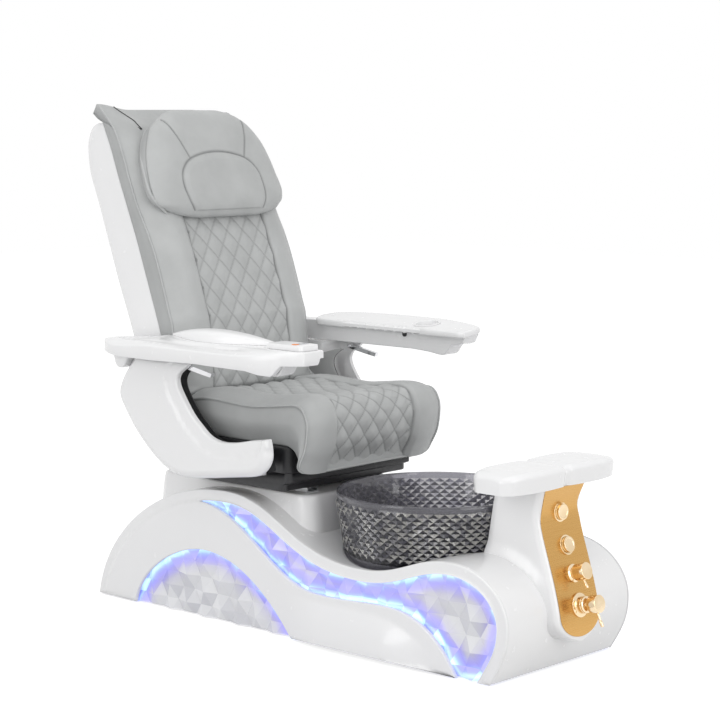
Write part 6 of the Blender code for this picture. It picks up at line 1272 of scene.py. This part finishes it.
# ---------------------------------------------------------------- inner panels of the arm covers
# Flat plastic panels that close the covers towards the seat: grey where the sitter sees them, a painted shade
# that stands for the shaded inside of the white cover; black outside, where they show as a dark edge round the opening.
# Mid grey in place of the white cover's shaded inside: painted shade.
PAINTED_SHADE_GREY, shader, where = finish("inner_panel_painted_shade_grey", (0.36, 0.365, 0.365), 0.44)
vary(PAINTED_SHADE_GREY, noise(PAINTED_SHADE_GREY, where, 90.0, 3.0), shader.inputs["Roughness"], 0.38, 0.52)
liner_inner = [(x - 0.017, z - 0.008) for x, z in cover_inner[:-1]]
liner_top = [(-0.317, 0.682), (-0.350, 0.675), (-0.400, 0.660), (-0.470, 0.638), (-0.545, 0.604)]
liner_loop = np.vstack([through([liner_top[-1]] + cover_side[4:-4] + [(-0.020, 0.470), (-0.022, 0.500)], 8),
                        through(liner_inner, 8), through(liner_top, 8)[:-1]])
flat, triangles, gap = panel([drawn_in(closed_evenly(liner_loop, 240), 0.004)], 0.016, (0.001,))
for side, label in SIDES:
    seen = upright(flat, side * (0.2764 + 0.0008 * (gap < 0.0005)))
    points, faces = walled(seen, upright(flat, side * 0.2797), triangles)
    piece = make(f"arm_inner_panel_{label}", points, faces, PAINTED_SHADE_GREY, "seat", f"arm_panel_{label}", sharp=50)
    piece.data.materials.append(BLACK)
    for face in piece.data.polygons:
        face.material_index = 1 if face.normal.y * side > -0.5 else 0

# ---------------------------------------------------------------- arm beams
# White box beams that carry the trays and lift about a pin behind; their front end hooks down. A small
# black screw sits in the inner side of each.
BEAM_IN, BEAM_OUT = 0.2885, 0.342       # distances y of a beam's two sides


def plate_rings(outline, low, high, edge, steps=5):
    """Rings of a plate between two distances y: near each side the outline draws in by edge (1 - sin a) while
    y moves by edge (1 - cos a)."""
    way = math.copysign(edge, high - low)
    turn = np.linspace(0.0, math.pi / 2, steps)
    return [upright(drawn_in(outline, edge * (1 - math.sin(a))), y + move * (1 - math.cos(a)))
            for angles, y, move in ((turn, low, way), (turn[::-1], high, -way)) for a in angles]


hook = through([(-0.060, 0.696), (0.000, 0.692), (0.030, 0.688), (0.050, 0.688), (0.062, 0.694), (0.072, 0.708),
                (0.082, 0.716), (0.104, 0.719), (0.120, 0.724)], 5)
beam_low = np.vstack([[(-0.586, 0.708), (-0.580, 0.702), (-0.562, 0.694)], arc((-0.535, 0.684), 0.022, 180, 345, 18),
                      [(-0.500, 0.696)], hook])
beam_tops = ([(0.124, 0.738), (-0.340, 0.738), (-0.450, 0.730), (-0.588, 0.716)],
             [(0.128, 0.748), (-0.400, 0.752), (-0.560, 0.750), (-0.588, 0.738)])
screw = rounded([(0.0, -0.002), (0.0075, -0.002), (0.0075, 0.0035), (0.0, 0.0035)], 0.0012)
for (side, label), top in zip(SIDES, beam_tops):
    rings = plate_rings(np.vstack([beam_low, top]), side * BEAM_IN, side * BEAM_OUT, 0.004)
    make(f"arm_beam_moulding_{label}", *lofted(rings), WHITE, f"arm_{label}", f"arm_beam_{label}", sharp=50)
for (side, label), screw_z in zip(SIDES[::-1], (0.735, 0.722)):
    points, faces = turned(screw, (-0.086, side * BEAM_IN, screw_z), (0.0, -side, 0.0), 40)
    make(f"arm_beam_screw_{label}", points, faces, BLACK, f"arm_{label}", sharp=60)

# ---------------------------------------------------------------- trays
# White mouldings on top of the beams. The right one has a shallow dish and a deep outer wall that hides
# its beam; the left one is a plain board that rises outwards and has a round hole for a cup.


def tray_loop(side, rear, front):
    """Plan of a tray: straight inside, rounded ends and a bellied outside."""
    inner, outer = 0.262, 0.388
    loop = round_through([
        (rear + 0.014, inner + 0.014), (rear + 0.080, inner + 0.003), (front - 0.080, inner),
        (front - 0.010, inner + 0.004), (front, inner + 0.014), (front, inner + 0.064), (front - 0.012, inner + 0.078),
        (front - 0.070, outer - 0.026), (front - 0.170, outer - 0.004), (front - 0.330, outer),
        (rear + 0.120, outer - 0.006), (rear + 0.030, outer - 0.028), (rear, inner + 0.062), (rear, inner + 0.036)], 14)
    return loop * (1, side)


TRAY_LOW, TRAY_FRONT, TRAY_REAR = 0.7363, 0.142, -0.602
flat, triangles, gap = panel([tray_loop(-1, TRAY_REAR, TRAY_FRONT)], 0.006, (0.0008, 0.002, 0.004, 0.006, 0.009, 0.013))
out = -flat[:, 1]
edge = round_off(gap, 0.004)
rear_fall = 0.018 * soft((-0.36 - flat[:, 0]) / 0.24)
outer_fall = 0.020 * soft((out - 0.346) / 0.048)
dish_side = round_through([(-0.572, -0.310), (-0.542, -0.285), (-0.422, -0.284), (-0.302, -0.345), (-0.042, -0.357),
                           (-0.042, -0.366), (-0.272, -0.372), (-0.492, -0.356)], 12)
dish_gap = np.where(within(flat, [dish_side]), reach(flat, [dish_side]), 0.0)
top = TRAY_LOW + 0.019 - edge - rear_fall - outer_fall - 0.005 * soft(dish_gap / 0.008)
wall_foot = np.interp(flat[:, 0],
                      [TRAY_REAR, -0.570, -0.500, -0.360, -0.200, -0.020, 0.020, 0.055, 0.064, 0.080, 0.150],
                      [0.708, 0.704, 0.698, 0.699, 0.703, 0.700, 0.692, 0.690, 0.700, 0.717, 0.720])

wall = soft((0.017 - gap) / 0.003) * soft((out - 0.280) / 0.008)
low = (TRAY_LOW - rear_fall) * (1 - wall) + (wall_foot + 0.5 * edge) * wall
points, faces = walled(np.column_stack([flat, top]), np.column_stack([flat, low]), triangles)
make("tray_right_moulding", points, faces, WHITE, "arm_right", "arm_tray_right", sharp=50)
SLOPE = math.tan(math.radians(8))
LEFT_TOP, CUP_HOLE = 0.757, 0.034
CUP = np.array([-0.030, 0.316, LEFT_TOP + 0.054 * SLOPE])
hole = arc(CUP[:2], CUP_HOLE, 0, 360, 72, False)
loop = tray_loop(1, -0.420, TRAY_FRONT)
flat, triangles, gap = panel([loop, hole], 0.006, (0.0008, 0.002, 0.004, 0.006, 0.009))
edge, lip = round_off(reach(flat, [loop]), 0.005), round_off(reach(flat, [hole]), 0.002)
level = LEFT_TOP + (flat[:, 1] - 0.262) * SLOPE
top, foot = np.column_stack([flat, level - edge - lip]), np.column_stack([flat, level - 0.018 + edge])
points, faces = walled(top, foot, triangles)
make("tray_left_moulding", points, faces, WHITE, "arm_left", "arm_tray_left", sharp=50)

# ---------------------------------------------------------------- cup liner
# White plastic cup that hangs in the left tray by its rim.
SATIN = gloss_moulding("satin_white_plastic", (0.86, 0.86, 0.865), 0.36)
cup = rounded([(0.0, -0.066), (0.019, -0.066), (0.0215, -0.064), (0.0215, -0.028), (0.0334, -0.024), (0.0334, 0.0002),
               (0.0374, 0.0002), (0.0364, 0.0022), (0.0304, 0.0022), (0.0304, -0.022), (0.0195, -0.026),
               (0.0195, -0.063), (0.0, -0.063)], 0.0012)
make("cup_liner_moulding", *turned(cup, CUP, (0.0, -SLOPE, 1.0), 72), SATIN, "arm_left", "cup_liner", sharp=60)

# ---------------------------------------------------------------- arm pad
# White padded rest along the inside of the right tray, bellied outwards and highest near its middle.
PAD_LOW = 0.7556
along = np.linspace(0.0, 1.0, 90)[:, None]
across = np.linspace(0.0, 1.0, 34)[None, :]
x = -0.388 + 0.383 * along + 0 * across
y = -0.270 - (0.014 + 0.062 * np.sin(np.pi * along) ** 1.1) * across
crown = 0.004 + 0.026 * np.sin(np.pi * along) ** 0.9 * (1 - np.abs(2 * across - 1) ** 4) ** 0.5
top = np.stack([x, y, PAD_LOW + crown], axis=2)
foot = np.stack([x, y, np.full_like(x, PAD_LOW)], axis=2)
points, faces = lofted(np.concatenate([top, foot[:, ::-1]], axis=1))
pad = make("arm_pad_cover", points, faces, SATIN, "arm_right", "arm_pad_right", sharp=60)

# ---------------------------------------------------------------- remote
# Control panel sunk in the right tray's front: satin housing with a dark screen and three keys.
low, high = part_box("remote_housing")
edges = ((0.0, 0.0012), (0.0012, 0.0), (0.0115, 0.0), (0.0128, 0.0004), (0.0137, 0.0013), (0.0140, 0.0028))
half, middle = (high.y - low.y) / 2, (low.y + high.y) / 2
rings = [plan_ring(low.x + inset, high.x - inset, half - inset, 0.010, low.z + rise) + (0.0, middle, 0.0)
         for rise, inset in edges]
make("remote_moulding", *lofted(rings), SATIN, "arm_right", "remote_housing", sharp=50)

# ---------------------------------------------------------------- steel, motors and other plain nodes
# What is left as it was made: bent and welded steel, rails, rollers, the pump and the power unit.


def metal(name, colour, rough, scale):
    """Metal whose colour and polish drift a little over its surface."""
    made, shader, where = finish(name, colour, rough, 1.0)
    vary(made, noise(made, where, scale, 4.0), shader.inputs["Roughness"], rough * 0.75, rough * 1.35)
    tint(made, noise(made, where, scale / 3, 3.0), shader.inputs["Base Color"], tuple(c * 0.86 for c in colour), colour)
    return made


CHROME = metal("polished_chrome", (0.78, 0.78, 0.80), 0.08, 60.0)
looks = {"chrome": CHROME, "zinc_plated_steel": metal("zinc_plated_steel_sheet", (0.56, 0.57, 0.58), 0.34, 120.0),
         "brass": metal("turned_brass", (0.66, 0.47, 0.20), 0.28, 90.0), "black_plastic": BLACK,
         "white_gloss_shell": WHITE, "white_satin_plastic": SATIN, "grey_leather": LEATHER, "smoked_crystal": GLASS,
         "brushed_gold": GOLD, "polished_pale_gold": PALE, "light_acrylic": LIT}
made, shader, where = finish("black_painted_steel_tube", (0.022, 0.022, 0.025), 0.38)
vary(made, noise(made, where, 200.0, 3.0), shader.inputs["Roughness"], 0.30, 0.48)
relief(made, noise(made, where, 700.0, 2.0), 0.00004)
looks["black_painted_steel"] = made
made, shader, where = finish("birch_plywood", (0.52, 0.38, 0.22), 0.60)
layers = noise(made, where, 30.0, 5.0, (0.3, 6.0, 6.0))
tint(made, layers, shader.inputs["Base Color"], (0.44, 0.31, 0.17), (0.60, 0.46, 0.29))
looks["plywood"] = made
for name, colour, rough in (("screen", (0.030, 0.045, 0.050), 0.08), ("orange_key", (0.85, 0.26, 0.06), 0.38),
                            ("grey_key", (0.50, 0.51, 0.52), 0.42)):
    made, shader, where = finish(f"{name}_surface", colour, rough)
    vary(made, noise(made, where, 150.0, 2.0), shader.inputs["Roughness"], rough * 0.8, rough * 1.3)
    looks[name] = made
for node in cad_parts.values():
    if not node.hide_render:
        slot = node.data.materials[0].name.split(".")[0] if node.data.materials else ""
        node.data.materials.clear()
        node.data.materials.append(looks.get(slot, BLACK))

low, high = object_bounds()
